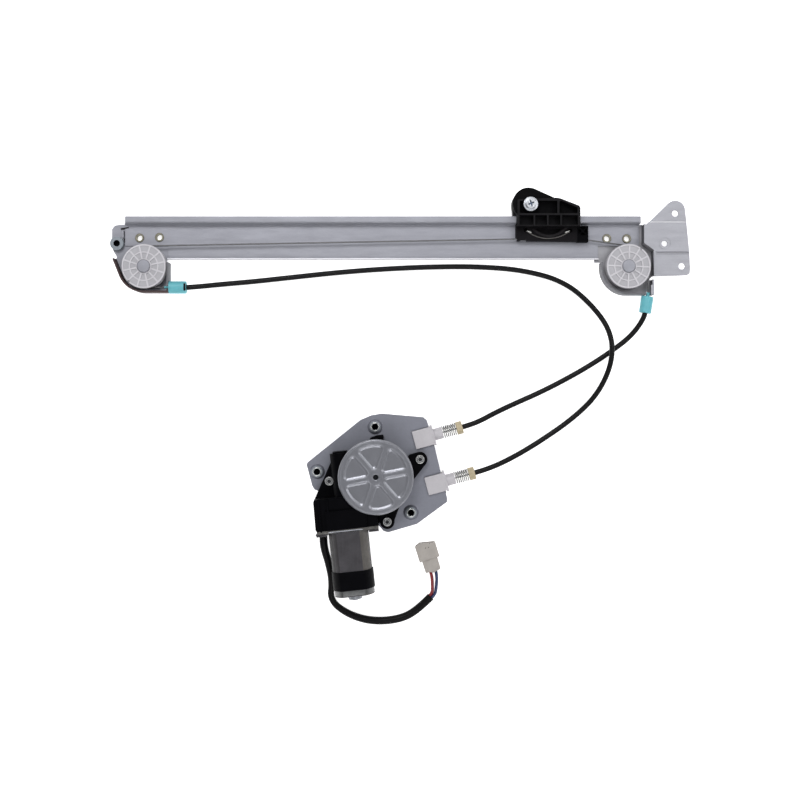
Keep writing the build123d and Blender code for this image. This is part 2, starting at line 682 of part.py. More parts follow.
with BuildPart() as clamp_nut:
    with BuildSketch(Plane.XY.offset(0.4)):
        with Locations(SCREW):
            RegularPolygon(5.0, 6, major_radius=False)
            Circle(3.02, mode=Mode.SUBTRACT)
    extrude(amount=2.6)
clamp_nut.part.label = "clamp_nut"
export_step(clamp_nut.part, "parts/clamp_nut.step")

with BuildPart() as cable_nipples:
    with BuildSketch(Plane(origin=(anchor_l[0] - 1.0, anchor_l[1], CABLE_Z), x_dir=(0, 1, 0), z_dir=(1, 0, 0))):
        Circle(2.1)
    extrude(amount=5.0)
    with BuildSketch(Plane(origin=(anchor_r[0] - 1.5, anchor_r[1] + 0.3, CABLE_Z), x_dir=(0, 1, 0), z_dir=(1, 0, 0))):
        Circle(1.65)
    extrude(amount=5.0)
cable_nipples.part.label = "cable_nipples"
export_step(cable_nipples.part, "parts/cable_nipples.step")

# ---------------------------------------------------------------- pull cable on the rail side
run_l_end = (anchor_l[0] - 1.0, anchor_l[1])
run_r_end = (anchor_r[0] + 3.56, anchor_r[1] + 0.3)
ang_l = tangent(PL, PULLEY_GROOVE, run_l_end, 1)
ang_r = tangent(PR, PULLEY_GROOVE, run_r_end, -1)
ang_n = tangent(PR, PULLEY_GROOVE, nose_r, 1)
seat_l = (XT, PL[1] - PULLEY_GROOVE)


def cable_run(a, b, r=CABLE_D / 2, z=CABLE_Z):
    d = Vector(b[0] - a[0], b[1] - a[1], 0)
    return Plane(origin=(a[0], a[1], z), x_dir=(0, 0, 1), z_dir=d.normalized()), d.length


with BuildPart() as cable_run_left:
    plane, length = cable_run(polar(PL, PULLEY_GROOVE, ang_l), run_l_end)
    with BuildSketch(plane):
        Circle(CABLE_D / 2)
    extrude(amount=length)
cable_run_left.part.label = "cable_run_left"
export_step(cable_run_left.part, "parts/cable_run_left.step")

with BuildPart() as cable_run_right:
    plane, length = cable_run(run_r_end, polar(PR, PULLEY_GROOVE, ang_r))
    with BuildSketch(plane):
        Circle(CABLE_D / 2)
    extrude(amount=length)
cable_run_right.part.label = "cable_run_right"
export_step(cable_run_right.part, "parts/cable_run_right.step")

with BuildPart() as cable_wrap_left:
    with BuildLine(Plane.XY.offset(CABLE_Z)) as wl:
        CenterArc(PL, PULLEY_GROOVE, ang_l, 270 - ang_l)
        Line((PL[0], PL[1] - PULLEY_GROOVE), (seat_l[0] + 12, seat_l[1]))
    with BuildSketch(Plane(origin=wl.line @ 0, z_dir=wl.line % 0)):
        Circle(CABLE_D / 2)
    sweep(path=wl.line)
cable_wrap_left.part.label = "cable_wrap_left"
export_step(cable_wrap_left.part, "parts/cable_wrap_left.step")

fr_dir = (Vector(*tail_r, 0) - Vector(*seat_r, 0)).normalized()
ang_f = math.degrees(math.atan2(-fr_dir.X, fr_dir.Y)) + 180
with BuildPart() as cable_wrap_right:
    with BuildLine(Plane.XY.offset(CABLE_Z)) as wr:
        CenterArc(PR, PULLEY_GROOVE, ang_r, ang_n - ang_r)
        Line(polar(PR, PULLEY_GROOVE, ang_n), nose_r)
    with BuildSketch(Plane(origin=wr.line @ 0, z_dir=wr.line % 0)):
        Circle(CABLE_D / 2)
    sweep(path=wr.line)
    # the stretch in the ferrule, with the slight bend at its nose
    with Locations((nose_r[0], nose_r[1], CABLE_Z)):
        Sphere(CABLE_D / 2)
    with BuildSketch(Plane(origin=(nose_r[0], nose_r[1], CABLE_Z), x_dir=(0, 0, 1), z_dir=fr_dir)):
        Circle(CABLE_D / 2)
    extrude(amount=14)
cable_wrap_right.part.label = "cable_wrap_right"
export_step(cable_wrap_right.part, "parts/cable_wrap_right.step")

# ---------------------------------------------------------------- conduit ferrules
with BuildPart() as ferrule_left:
    pl = Plane(origin=(seat_l[0], seat_l[1], CABLE_Z), x_dir=(0, 0, 1), z_dir=(1, 0, 0))
    with BuildSketch(pl):
        Circle(FERRULE_R)
    extrude(amount=FERRULE_L)
    with BuildSketch(pl):
        Circle(1.25)
    extrude(amount=-4.6)
    chamfer(ferrule_left.faces().sort_by(Axis.X)[-1].edges(), 0.7)
    with BuildSketch(pl.offset(-6)):
        Circle(0.95)
    extrude(amount=19, mode=Mode.SUBTRACT)
ferrule_left.part.label = "ferrule_left"
export_step(ferrule_left.part, "parts/ferrule_left.step")

with BuildPart() as ferrule_right:
    pf = Plane(origin=(seat_r[0], seat_r[1], CABLE_Z), x_dir=(0, 0, 1), z_dir=fr_dir)
    with BuildSketch(pf):
        Circle(5.7)
    extrude(amount=15.58)
    with BuildSketch(pf):
        Circle(1.9)
    extrude(amount=-3.8)
    chamfer(ferrule_right.faces().sort_by(Axis.Y)[0].edges(), 0.7)
    with BuildSketch(pf.offset(-6)):
        Circle(0.95)
    extrude(amount=18, mode=Mode.SUBTRACT)
ferrule_right.part.label = "ferrule_right"
export_step(ferrule_right.part, "parts/ferrule_right.step")

# ---------------------------------------------------------------- motor plate
guide_rows = (DRUM_GROOVE, -DRUM_GROOVE)
with BuildPart() as motor_plate:
    with BuildSketch(Plane.XY.offset(PLATE_Z0)) as plate_sketch:
        with BuildLine():
            Polyline(
                *row(
                    16.5,
                    (307.4, 462.4), (360.4, 419.9), (371.1, 415.3), (381.8, 413.5), (423.2, 417.1), (426.7, 419.9),
                    (429.3, 427.6), (434.6, 445.9), (440.8, 471.9), (447.4, 499.0), (447.0, 502.0), (443.1, 504.9),
                    (417, 524), (388, 532.4), (383.4, 530.9), (380.3, 527), (368, 518), (340, 508), (325, 498),
                    (317.6, 490.6), (314.5, 489.5), (312.2, 485.7), (306.6, 464.8),
                ),
                close=True,
            )
        make_face()
    extrude(amount=SHEET)
    # raised seats of the three rivet nuts
    with BuildSketch(Plane.XY.offset(PLATE_Z1)):
        with Locations(*PLATE_NUTS):
            Circle(7.1)
    extrude(amount=2.2, taper=38)
    # notches that the guide blocks stand in
    with BuildSketch(drive.offset(PLATE_Z0 - 1)):
        for n in guide_rows:
            with Locations((52.5, n)):
                Rectangle(20, 17.4)
    extrude(amount=6, mode=Mode.SUBTRACT)
    with BuildSketch(Plane.XY.offset(PLATE_Z0 - 1)):
        with Locations(C):
            Circle(12)
        with Locations(*EARS):
            Circle(2.1)
        with Locations(*PLATE_NUTS):
            Circle(4.4)
    extrude(amount=8, mode=Mode.SUBTRACT)
motor_plate.part.label = "motor_plate"
export_step(motor_plate.part, "parts/motor_plate.step")

# ---------------------------------------------------------------- drum, its housing and the cable guides
with BuildPart() as drum_housing:
    with BuildSketch(drive):
        Circle(33)
        with Locations((29.5, 0)):
            Rectangle(59, 66)
    extrude(amount=PLATE_Z0)
    with BuildSketch(drive.offset(2.0)):
        Circle(31.2)
        with Locations((28.6, 0)):
            Rectangle(57.2, 62.4)
    extrude(amount=PLATE_Z0, mode=Mode.SUBTRACT)
    # gaps in the end wall for the guides
    with BuildSketch(drive.offset(2.0)):
        for n in guide_rows:
            with Locations((56, n)):
                Rectangle(10, 17.2)
    extrude(amount=PLATE_Z0, mode=Mode.SUBTRACT)
    # boss under the screw between the guides, and the shaft's lower bearing
    with BuildSketch(Plane.XY.offset(1.0)):
        with Locations(EARS[1]):
            Circle(4.6)
    extrude(amount=9.0)
    with BuildSketch(drive.offset(0.6)):
        Circle(5.06)
    extrude(amount=3, mode=Mode.SUBTRACT)
drum_housing.part.label = "drum_housing"
export_step(drum_housing.part, "parts/drum_housing.step")

with BuildPart() as cable_drum:
    with BuildSketch(Plane(origin=(C[0], C[1], 0), x_dir=(1, 0, 0), z_dir=(0, -1, 0))):
        with BuildLine():
            Polyline(
                (5.5, 2.5), (24.3, 2.5), (24.3, 3.4), (21.2, 3.9), (21.2, 5.5), (23.2, 5.9), (21.2, 6.2), (21.2, 7.5),
                (23.0, 7.7), (21.2, 7.9), (21.2, 10.1), (23.2, 10.4), (21.2, 10.7), (21.2, 12.4), (24.3, 12.9), (24.3, 13.8),
                (5.5, 13.8), close=True,
            )
        make_face()
    revolve(axis=Axis((C[0], C[1], 0), (0, 0, 1)))
    # hexagonal drive bore
    with BuildSketch(Plane(origin=(C[0], C[1], 2), x_dir=(1, 0, 0), z_dir=(0, 0, 1))):
        RegularPolygon(5.6, 6, major_radius=False)
    extrude(amount=13, mode=Mode.SUBTRACT)
    # lightening pockets
    with BuildSketch(Plane(origin=(C[0], C[1], 13.8), x_dir=(1, 0, 0), z_dir=(0, 0, 1))):
        with PolarLocations(13.2, 6):
            Circle(4.4)
    extrude(amount=-8, mode=Mode.SUBTRACT)
cable_drum.part.label = "cable_drum"
export_step(cable_drum.part, "parts/cable_drum.step")

with BuildPart() as drum_cable:
    for z in (4.7, 6.85, 11.55):
        with BuildSketch(Plane(origin=(C[0], C[1], 0), x_dir=(1, 0, 0), z_dir=(0, -1, 0))):
            with Locations((DRUM_GROOVE, z)):
                Circle(CABLE_D / 2)
        revolve(axis=Axis((C[0], C[1], 0), (0, 0, 1)))
drum_cable.part.label = "drum_cable"
export_step(drum_cable.part, "parts/drum_cable.step")


def along(u, n, z=FEED_Z, back=False):
    """Plane across a guide's axis at distance u from the drum axis."""
    return Plane(
        origin=(C[0] + ca * u - sa * n, C[1] + sa * u + ca * n, z),
        x_dir=(0, 0, 1),
        z_dir=(ca, sa, 0),
    )


BLOCK_U0, BLOCK_U1, FLANGE_U1, STEM_U1, SPRING_U1, CAP_U1 = 42.6, 60.4, 62.2, 70.6, 84.0, 89.8
# rope from the drum through the guides and the springs to the caps
with BuildPart() as cable_feeds:
    for n in guide_rows:
        with BuildSketch(along(0.5, n)):
            Circle(CABLE_D / 2)
        extrude(amount=SPRING_U1 - 0.5)
cable_feeds.part.label = "cable_feeds"
export_step(cable_feeds.part, "parts/cable_feeds.step")

with BuildPart() as guide_upper:
    with BuildSketch(drive.offset(2.0)):
        with Locations(((BLOCK_U0 + BLOCK_U1) / 2, DRUM_GROOVE)):
            Rectangle(BLOCK_U1 - BLOCK_U0, 16.9)
    extrude(amount=17.2)
    with BuildSketch(drive.offset(0.6)):
        with Locations(((BLOCK_U1 + FLANGE_U1) / 2, DRUM_GROOVE)):
            Rectangle(FLANGE_U1 - BLOCK_U1, 19.4)
    extrude(amount=17.6)
    with BuildSketch(along(FLANGE_U1, DRUM_GROOVE)):
        Circle(5.6)
    extrude(amount=STEM_U1 - FLANGE_U1)
    with BuildSketch(along(BLOCK_U0 - 1, DRUM_GROOVE)):
        Circle(0.95)
    extrude(amount=40, mode=Mode.SUBTRACT)
guide_upper.part.label = "guide_upper"
export_step(guide_upper.part, "parts/guide_upper.step")

with BuildPart() as guide_lower:
    with BuildSketch(drive.offset(2.0)):
        with Locations(((BLOCK_U0 + BLOCK_U1) / 2, -DRUM_GROOVE)):
            Rectangle(BLOCK_U1 - BLOCK_U0, 16.9)
    extrude(amount=17.2)
    with BuildSketch(drive.offset(0.6)):
        with Locations(((BLOCK_U1 + FLANGE_U1) / 2, -DRUM_GROOVE)):
            Rectangle(FLANGE_U1 - BLOCK_U1, 19.4)
    extrude(amount=17.6)
    with BuildSketch(along(FLANGE_U1, -DRUM_GROOVE)):
        Circle(5.6)
    extrude(amount=STEM_U1 - FLANGE_U1)
    with BuildSketch(along(BLOCK_U0 - 1, -DRUM_GROOVE)):
        Circle(0.95)
    extrude(amount=40, mode=Mode.SUBTRACT)
guide_lower.part.label = "guide_lower"
export_step(guide_lower.part, "parts/guide_lower.step")

# conduit seated in the caps
with BuildPart() as conduit_ends:
    for n in guide_rows:
        with BuildSketch(along(SPRING_U1, n)):
            Circle(CONDUIT_D / 2)
        extrude(amount=CAP_U1 - SPRING_U1)
conduit_ends.part.label = "conduit_ends"
export_step(conduit_ends.part, "parts/conduit_ends.step")

with BuildPart() as guide_caps:
    for n in guide_rows:
        with BuildSketch(along(SPRING_U1, n)):
            Circle(6.1)
            Circle(CONDUIT_D / 2, mode=Mode.SUBTRACT)
        extrude(amount=CAP_U1 - SPRING_U1)
guide_caps.part.label = "guide_caps"
export_step(guide_caps.part, "parts/guide_caps.step")

SPRING_WIRE = 0.8
SPRING_TURNS = 7
sp_len = SPRING_U1 - STEM_U1 - SPRING_WIRE - 0.1


def take_up_spring(n):
    with BuildPart() as coil:
        with BuildLine():
            h = Helix(
                pitch=sp_len / SPRING_TURNS,
                height=sp_len,
                radius=5.5,
                center=along(STEM_U1 + SPRING_WIRE / 2 + 0.05, n).origin,
                direction=(ca, sa, 0),
            )
        with BuildSketch(Plane(origin=h @ 0, z_dir=h % 0)):
            Circle(SPRING_WIRE / 2)
        sweep(path=h, is_frenet=True)
    return coil.part


spring_upper = take_up_spring(DRUM_GROOVE)
spring_upper.label = "spring_upper"
export_step(spring_upper, "parts/spring_upper.step")
spring_lower = take_up_spring(-DRUM_GROOVE)
spring_lower.label = "spring_lower"
export_step(spring_lower, "parts/spring_lower.step")

# ---------------------------------------------------------------- gearbox
with BuildPart() as gearbox_housing:
    # flat flange over the whole footprint
    with BuildSketch(Plane.XY.offset(PLATE_Z1)):
        with BuildLine():
            Polyline(
                *row(
                    26,
                    (332.5, 452), (346, 452), (356, 462), (360, 500), (384, 506), (380.3, 522.4), (376.3, 525), (317.7, 533.7),
                    (315.3, 530.9), (312.9, 502.6), (324.2, 477.1), (330.6, 462.4),
                ),
                close=True,
            )
        make_face()
        with Locations(C):
            Circle(33.4)
    extrude(amount=7.5)
    with BuildSketch(Plane.XY.offset(PLATE_Z1)):
        with Locations(*EARS[1:]):
            Circle(6.8)
        with BuildLine():
            Polyline(*row(24, (409.0, 455.0), (417.0, 452.6), (426.6, 463.2), (413.3, 480.0), (403.0, 470.0)), close=True)
        make_face()
        with BuildLine():
            Polyline(*row(24, (372, 505), (399, 508), (394.3, 520.5), (386, 529.0), (379.5, 523)), close=True)
        make_face()
    extrude(amount=7.5)
    # round gear case and the motor block
    with BuildSketch(Plane.XY.offset(PLATE_Z1)):
        with Locations(C):
            Circle(33.4)
    extrude(amount=44.0 - PLATE_Z1)
    with BuildSketch(motor_plane(-32)):
        with Locations((-2.0, 0)):
            Rectangle(25.0, 56)
    extrude(amount=32)
    with BuildSketch(motor_plane(-20)):
        with Locations((-0.8, 0)):
            Rectangle(27.4, 37)
    extrude(amount=20)
    # worm tunnel
    with BuildSketch(motor_plane(-72)):
        Circle(9.5)
    extrude(amount=51)
    with BuildSketch(motor_plane(-73.5)):
        with Locations((-3.0, 0)):
            Rectangle(17, 12.6)
    extrude(amount=12)
    # small lug over the rim of the case
    with BuildSketch(Plane.XY.offset(PLATE_Z1)):
        with BuildLine():
            Polyline(*row(40, (370.0, 438.2), (376.8, 435.7), (383.1, 435.2), (384.0, 446.0), (369.6, 446.0)), close=True)
        make_face()
    extrude(amount=23)
    # pads for the rail-side screw head and stiffening ribs on the motor block
    with BuildSketch(motor_plane(-31)):
        with Locations((0, 24), (0, 16), (0, -17.5)):
            Rectangle(26, 1.4)
    extrude(amount=29)
    # gear chamber, worm chamber, brush chamber
    with BuildSketch(Plane.XY.offset(22.0)):
        with Locations(C):
            Circle(28.6)
    extrude(amount=30, mode=Mode.SUBTRACT)
    with BuildSketch(motor_plane(-60)):
        Circle(6.5)
    extrude(amount=60, mode=Mode.SUBTRACT)
    with BuildSketch(motor_plane(-68.1)):
        Circle(4.2)
    extrude(amount=10, mode=Mode.SUBTRACT)
    with BuildSketch(motor_plane(-13)):
        Rectangle(25.0, 29)
    extrude(amount=14, mode=Mode.SUBTRACT)
    # flat face that the motor is screwed to
    with BuildSketch(motor_plane(0)):
        with Locations((0, 8)):
            Rectangle(80, 52)
    extrude(amount=6, mode=Mode.SUBTRACT)
    # output shaft bore and screw holes
    with BuildSketch(Plane.XY.offset(10)):
        with Locations(C):
            Circle(7.5)
        with Locations(*EARS):
            Circle(2.1)
    extrude(amount=15, mode=Mode.SUBTRACT)
    # pocket in which the head of the flank screw sits
    with BuildSketch(Plane.XY.offset(24.0)):
        with Locations(EARS[0]):
            Circle(5.2)
    extrude(amount=20, mode=Mode.SUBTRACT)
gearbox_housing.part.label = "gearbox_housing"
export_step(gearbox_housing.part, "parts/gearbox_housing.step")

with BuildPart() as shaft_bush:
    with BuildSketch(Plane(origin=(C[0], C[1], PLATE_Z1), x_dir=(1, 0, 0), z_dir=(0, 0, 1))):
        Circle(7.5)
        Circle(5.06, mode=Mode.SUBTRACT)
    extrude(amount=22.0 - PLATE_Z1)
shaft_bush.part.label = "shaft_bush"
export_step(shaft_bush.part, "parts/shaft_bush.step")

DISC_Z0, DISC_Z1 = 44.0, 45.4
with BuildPart() as disc_cover:
    with BuildSketch(Plane(origin=(C[0], C[1], DISC_Z0), x_dir=(1, 0, 0), z_dir=(0, 0, 1))):
        Circle(34.6)
    extrude(amount=DISC_Z1 - DISC_Z0)
    chamfer(disc_cover.faces().sort_by(Axis.Z)[-1].edges(), 0.5)
    # six pressed sectors
    with BuildSketch(Plane(origin=(C[0], C[1], DISC_Z1), x_dir=(1, 0, 0), z_dir=(0, 0, 1))) as sectors:
        Circle(28.8)
        Circle(8.2, mode=Mode.SUBTRACT)
        with PolarLocations(18, 6, start_angle=11):
            Rectangle(36, 5.6, mode=Mode.SUBTRACT)
        fillet(sectors.vertices(), 1.8)
    extrude(amount=-0.6, mode=Mode.SUBTRACT)
    with BuildSketch(Plane(origin=(C[0], C[1], DISC_Z0 - 1), x_dir=(1, 0, 0), z_dir=(0, 0, 1))):
        Circle(2.3)
    extrude(amount=4, mode=Mode.SUBTRACT)
disc_cover.part.label = "disc_cover"
export_step(disc_cover.part, "parts/disc_cover.step")

with BuildPart() as housing_screws:
    with BuildSketch(Plane.XY.offset(10.2)):
        with Locations(*EARS):
            Circle(2.1)
    extrude(amount=14)
    with BuildSketch(Plane.XY.offset(24.0)):
        with Locations(*EARS):
            Circle(4.3)
    extrude(amount=2.6, taper=8)
    with BuildSketch(Plane.XY.offset(26.6)):
        with Locations(*EARS):
            RegularPolygon(1.9, 6)
    extrude(amount=-1.8, mode=Mode.SUBTRACT)
housing_screws.part.label = "housing_screws"
export_step(housing_screws.part, "parts/housing_screws.step")

with BuildPart() as housing_nuts:
    with BuildSketch(Plane.XY.offset(11.2)):
        with Locations(*EARS):
            RegularPolygon(4.0, 6, major_radius=False)
            Circle(2.1, mode=Mode.SUBTRACT)
    extrude(amount=PLATE_Z0 - 11.2)
housing_nuts.part.label = "housing_nuts"
export_step(housing_nuts.part, "parts/housing_nuts.step")

# ---------------------------------------------------------------- gear train
with BuildPart() as output_shaft:
    with BuildSketch(Plane(origin=(C[0], C[1], 0.9), x_dir=(1, 0, 0), z_dir=(0, 0, 1))):
        Circle(5.0)
    extrude(amount=1.5)
    with BuildSketch(Plane(origin=(C[0], C[1], 2.4), x_dir=(1, 0, 0), z_dir=(0, 0, 1))):
        RegularPolygon(5.5, 6, major_radius=False)
    extrude(amount=12.6)
    with BuildSketch(Plane(origin=(C[0], C[1], 15.0), x_dir=(1, 0, 0), z_dir=(0, 0, 1))):
        Circle(5.0)
    extrude(amount=12.1)
    with BuildSketch(Plane(origin=(C[0], C[1], 27.1), x_dir=(1, 0, 0), z_dir=(0, 0, 1))):
        Circle(8.0)
        with PolarLocations(9.5, 3):
            Rectangle(6, 4)
    extrude(amount=9.4)
    with BuildSketch(Plane(origin=(C[0], C[1], 36.5), x_dir=(1, 0, 0), z_dir=(0, 0, 1))):
        Circle(3.4)
    extrude(amount=7.0)
output_shaft.part.label = "output_shaft"
export_step(output_shaft.part, "parts/output_shaft.step")

WHEEL_Z0, WHEEL_Z1 = 25.0, 37.0
mesh_deg = math.degrees(math.atan2(-MOTOR_A[0], MOTOR_A[1]))  # from the output shaft to the worm
lead = WORM_PITCH / (2 * math.pi * WORM_R)


def wheel_sketch_points(turn):
    """Outline of the toothed rim, gap centred on the worm at turn 0."""
    out, step = [], 360 / WHEEL_N
    for i in range(WHEEL_N):
        m = mesh_deg + turn + i * step
        for r, a in ((25.35, -0.275), (25.35, 0.275), (27.0, 0.385), (27.0, 0.615)):
            out.append((r * math.cos(math.radians(m + a * step)), r * math.sin(math.radians(m + a * step))))
    return out


half_turn = math.degrees((WHEEL_Z1 - WHEEL_Z0) / 2 * lead / WHEEL_R)
with BuildPart() as worm_wheel:
    for z, t in ((WHEEL_Z0, -half_turn), (WHEEL_Z1, half_turn)):
        with BuildSketch(Plane(origin=(C[0], C[1], z), x_dir=(1, 0, 0), z_dir=(0, 0, 1))):
            with BuildLine():
                Polyline(*wheel_sketch_points(t), close=True)
            make_face()
    loft(ruled=True)
    with BuildSketch(Plane(origin=(C[0], C[1], 27.05), x_dir=(1, 0, 0), z_dir=(0, 0, 1))):
        Circle(17.2)
    extrude(amount=12, mode=Mode.SUBTRACT)
    with BuildSketch(Plane(origin=(C[0], C[1], 24.0), x_dir=(1, 0, 0), z_dir=(0, 0, 1))):
        Circle(5.1)
    extrude(amount=5, mode=Mode.SUBTRACT)
worm_wheel.part.label = "worm_wheel"
export_step(worm_wheel.part, "parts/worm_wheel.step")

with BuildPart() as damper:
    with BuildSketch(Plane(origin=(C[0], C[1], 27.1), x_dir=(1, 0, 0), z_dir=(0, 0, 1))):
        Circle(17.1)
        Circle(8.1, mode=Mode.SUBTRACT)
        with PolarLocations(9.5, 3):
            Rectangle(6.2, 4.2, mode=Mode.SUBTRACT)
    extrude(amount=9.2)
damper.part.label = "damper"
export_step(damper.part, "parts/damper.step")

# worm thread on its own axis, then set with its crest in the wheel gap at rest
with BuildPart() as thread:
    with BuildLine(Plane.XY):
        th = Helix(pitch=WORM_PITCH, height=8 * WORM_PITCH, radius=4.0)
    with BuildSketch(Plane(origin=th @ 0, x_dir=(1, 0, 0), z_dir=th % 0)):
        with BuildLine():
            Polyline((-1.0, -0.62), (0.95, -0.30), (0.95, 0.30), (-1.0, 0.62), close=True)
        make_face()
    sweep(path=th, is_frenet=True)
thread_plane = Plane(
    origin=motor_plane(S0 - 4 * WORM_PITCH).origin,
    x_dir=(-MOTOR_A[1], MOTOR_A[0], 0),
    z_dir=(MOTOR_A[0], MOTOR_A[1], 0),
)
set_thread = thread.part.moved(Location(thread_plane))
with BuildPart() as worm_shaft:
    with BuildSketch(motor_plane(-67.6)):
        Circle(3.0)
    extrude(amount=128.6)
    with BuildSketch(motor_plane(S0 - 13)):
        Circle(3.3)
    extrude(amount=26)
    add(set_thread)
worm_shaft.part.label = "worm_shaft"
export_step(worm_shaft.part, "parts/worm_shaft.step")

# ---------------------------------------------------------------- motor
def can_section(r, half, s, sub=None):
    with BuildSketch(motor_plane(s)) as sk:
        Circle(r)
        Rectangle(2 * half, 2 * r + 2, mode=Mode.INTERSECT)
    return sk.sketch


with BuildPart() as motor_can:
    with BuildSketch(motor_plane(0)):
        Circle(18.4)
        Rectangle(30.0, 40, mode=Mode.INTERSECT)
    extrude(amount=59.1)
    with BuildSketch(motor_plane(0)):
        with Locations((1.5, 1.0)):
            Rectangle(9.0, 58)
    extrude(amount=1.5)
    # its two ears, thicker where the screws pull
    with BuildSketch(motor_plane(0)):
        with Locations((2.5, 25.0), (2.5, -23.6)):
            Rectangle(6.0, 9.0)
    extrude(amount=3.0)
    with BuildSketch(motor_plane(59.1)):
        Circle(6.35)
    extrude(amount=4.1)
    with BuildSketch(motor_plane(63.2)):
        Circle(2.4)
    extrude(amount=1.2)
    with BuildSketch(motor_plane(-0.1)):
        Circle(17.0)
        Rectangle(27.2, 40, mode=Mode.INTERSECT)
    extrude(amount=57.8, mode=Mode.SUBTRACT)
    with BuildSketch(motor_plane(57)):
        Circle(4.5)
    extrude(amount=5.0, mode=Mode.SUBTRACT)
motor_can.part.label = "motor_can"
export_step(motor_can.part, "parts/motor_can.step")

with BuildPart() as can_band:
    with BuildSketch(motor_plane(36.1)):
        Circle(19.3)
        Rectangle(31.6, 40, mode=Mode.INTERSECT)
    extrude(amount=17.2)
    with BuildSketch(motor_plane(36)):
        Circle(18.4)
        Rectangle(30.0, 40, mode=Mode.INTERSECT)
    extrude(amount=18, mode=Mode.SUBTRACT)
can_band.part.label = "can_band"
export_step(can_band.part, "parts/can_band.step")

with BuildPart() as magnets:
    with BuildSketch(motor_plane(18)):
        Circle(16.95)
        Circle(14.0, mode=Mode.SUBTRACT)
        Rectangle(17, 40, mode=Mode.INTERSECT)
    extrude(amount=34)
magnets.part.label = "magnets"
export_step(magnets.part, "parts/magnets.step")

with BuildPart() as armature_core:
    with BuildSketch(motor_plane(21)):
        Circle(13.0)
        with PolarLocations(11.6, 10):
            Rectangle(4.4, 2.2, mode=Mode.SUBTRACT)
        Circle(3.0, mode=Mode.SUBTRACT)
    extrude(amount=27)
armature_core.part.label = "armature_core"
export_step(armature_core.part, "parts/armature_core.step")

with BuildPart() as windings:
    for s in (15.5, 48.05):
        with BuildSketch(motor_plane(s)):
            Circle(12.0)
            Circle(3.4, mode=Mode.SUBTRACT)
        extrude(amount=5.4)
    for edge in windings.edges().filter_by(GeomType.CIRCLE).filter_by(lambda e: abs(e.radius - 12.0) < 1e-3):
        fillet(edge, 1.6)
windings.part.label = "windings"
export_step(windings.part, "parts/windings.step")

with BuildPart() as commutator:
    with BuildSketch(motor_plane(-8)):
        Circle(6.0)
        with PolarLocations(6.0, 10):
            Rectangle(1.6, 0.5, mode=Mode.SUBTRACT)
        Circle(3.0, mode=Mode.SUBTRACT)
    extrude(amount=15)
commutator.part.label = "commutator"
export_step(commutator.part, "parts/commutator.step")

with BuildPart() as brush_holder:
    with BuildSketch(motor_plane(-4.5)):
        Rectangle(24.6, 28.6)
        Circle(8.0, mode=Mode.SUBTRACT)
    extrude(amount=2.0)
    for y in (9.6, -9.6):
        with BuildSketch(motor_plane(-2.5)):
            with Locations((0, y)):
                Rectangle(6.8, 6.0)
                Rectangle(4.6, 8.0, mode=Mode.SUBTRACT)
        extrude(amount=6.0)
brush_holder.part.label = "brush_holder"
export_step(brush_holder.part, "parts/brush_holder.step")

with BuildPart() as brushes:
    for y in (9.4, -9.4):
        with BuildSketch(motor_plane(-2.4)):
            with Locations((0, y)):
                Rectangle(4.4, 6.2)
    extrude(amount=5.4)
brushes.part.label = "brushes"
export_step(brushes.part, "parts/brushes.step")

with BuildPart() as shaft_bearings:
    with BuildSketch(motor_plane(-68.05)):
        Circle(4.2)
        Circle(3.05, mode=Mode.SUBTRACT)
    extrude(amount=7.95)
    with BuildSketch(motor_plane(-19)):
        Circle(6.5)
        Circle(3.05, mode=Mode.SUBTRACT)
    extrude(amount=5.5)
    with BuildSketch(motor_plane(57.2)):
        Circle(4.5)
        Circle(3.05, mode=Mode.SUBTRACT)
    extrude(amount=4.5)
shaft_bearings.part.label = "shaft_bearings"
export_step(shaft_bearings.part, "parts/shaft_bearings.step")

# ---------------------------------------------------------------- lead, wires and connector
LEAD_D = 6.2
WIRE_D = 2.4
gm = motor_plane(0)
with BuildPart() as lead_grommet:
    with BuildSketch(gm):
        with Locations((22.0 - MOTOR_Z, 24.0)):
            Circle(4.4)
    extrude(amount=3.5, taper=8)
lead_grommet.part.label = "lead_grommet"
export_step(lead_grommet.part, "parts/lead_grommet.step")

lead_exit = gm.from_local_coords(Vector(22.0 - MOTOR_Z, 24.0, 3.5))
lead_turn = gm.from_local_coords(Vector(22.0 - MOTOR_Z, 24.0, 13.0))
lead_route = [
    (lead_exit.X, lead_exit.Y, lead_exit.Z),
    (lead_turn.X, lead_turn.Y, lead_turn.Z),
    (*loc(-69.0, -151.5), 17.5),
    (*loc(-66.6, -169.5), 8.6),
    (*loc(-62.6, -188.5), 3.6),
    (*loc(-47.6, -202.6), 3.2),
    (*loc(-26.7, -209.0), 3.2),
    (*loc(-4.9, -207.7), 3.2),
    (*loc(13.0, -198.2), 3.2),
    (*loc(27.4, -186.9), 3.2),
]
PLUG0 = loc(23.5, -135.9)  # mouth of the connector
PLUG_DIR = Vector(0.30, -0.954, 0).normalized()
PLUG_Z = 5.5
plug = Plane(origin=(PLUG0[0], PLUG0[1], PLUG_Z), x_dir=(PLUG_DIR.Y * -1, PLUG_DIR.X, 0), z_dir=PLUG_DIR)
# plug: local x points to the right across the connector, local y is up or down
WIRE_X = 2.6
PLUG_L = 26.3


def plug_point(x, s, z=PLUG_Z):
    p = plug.origin + plug.x_dir * x + PLUG_DIR * s
    return (p.X, p.Y, z)


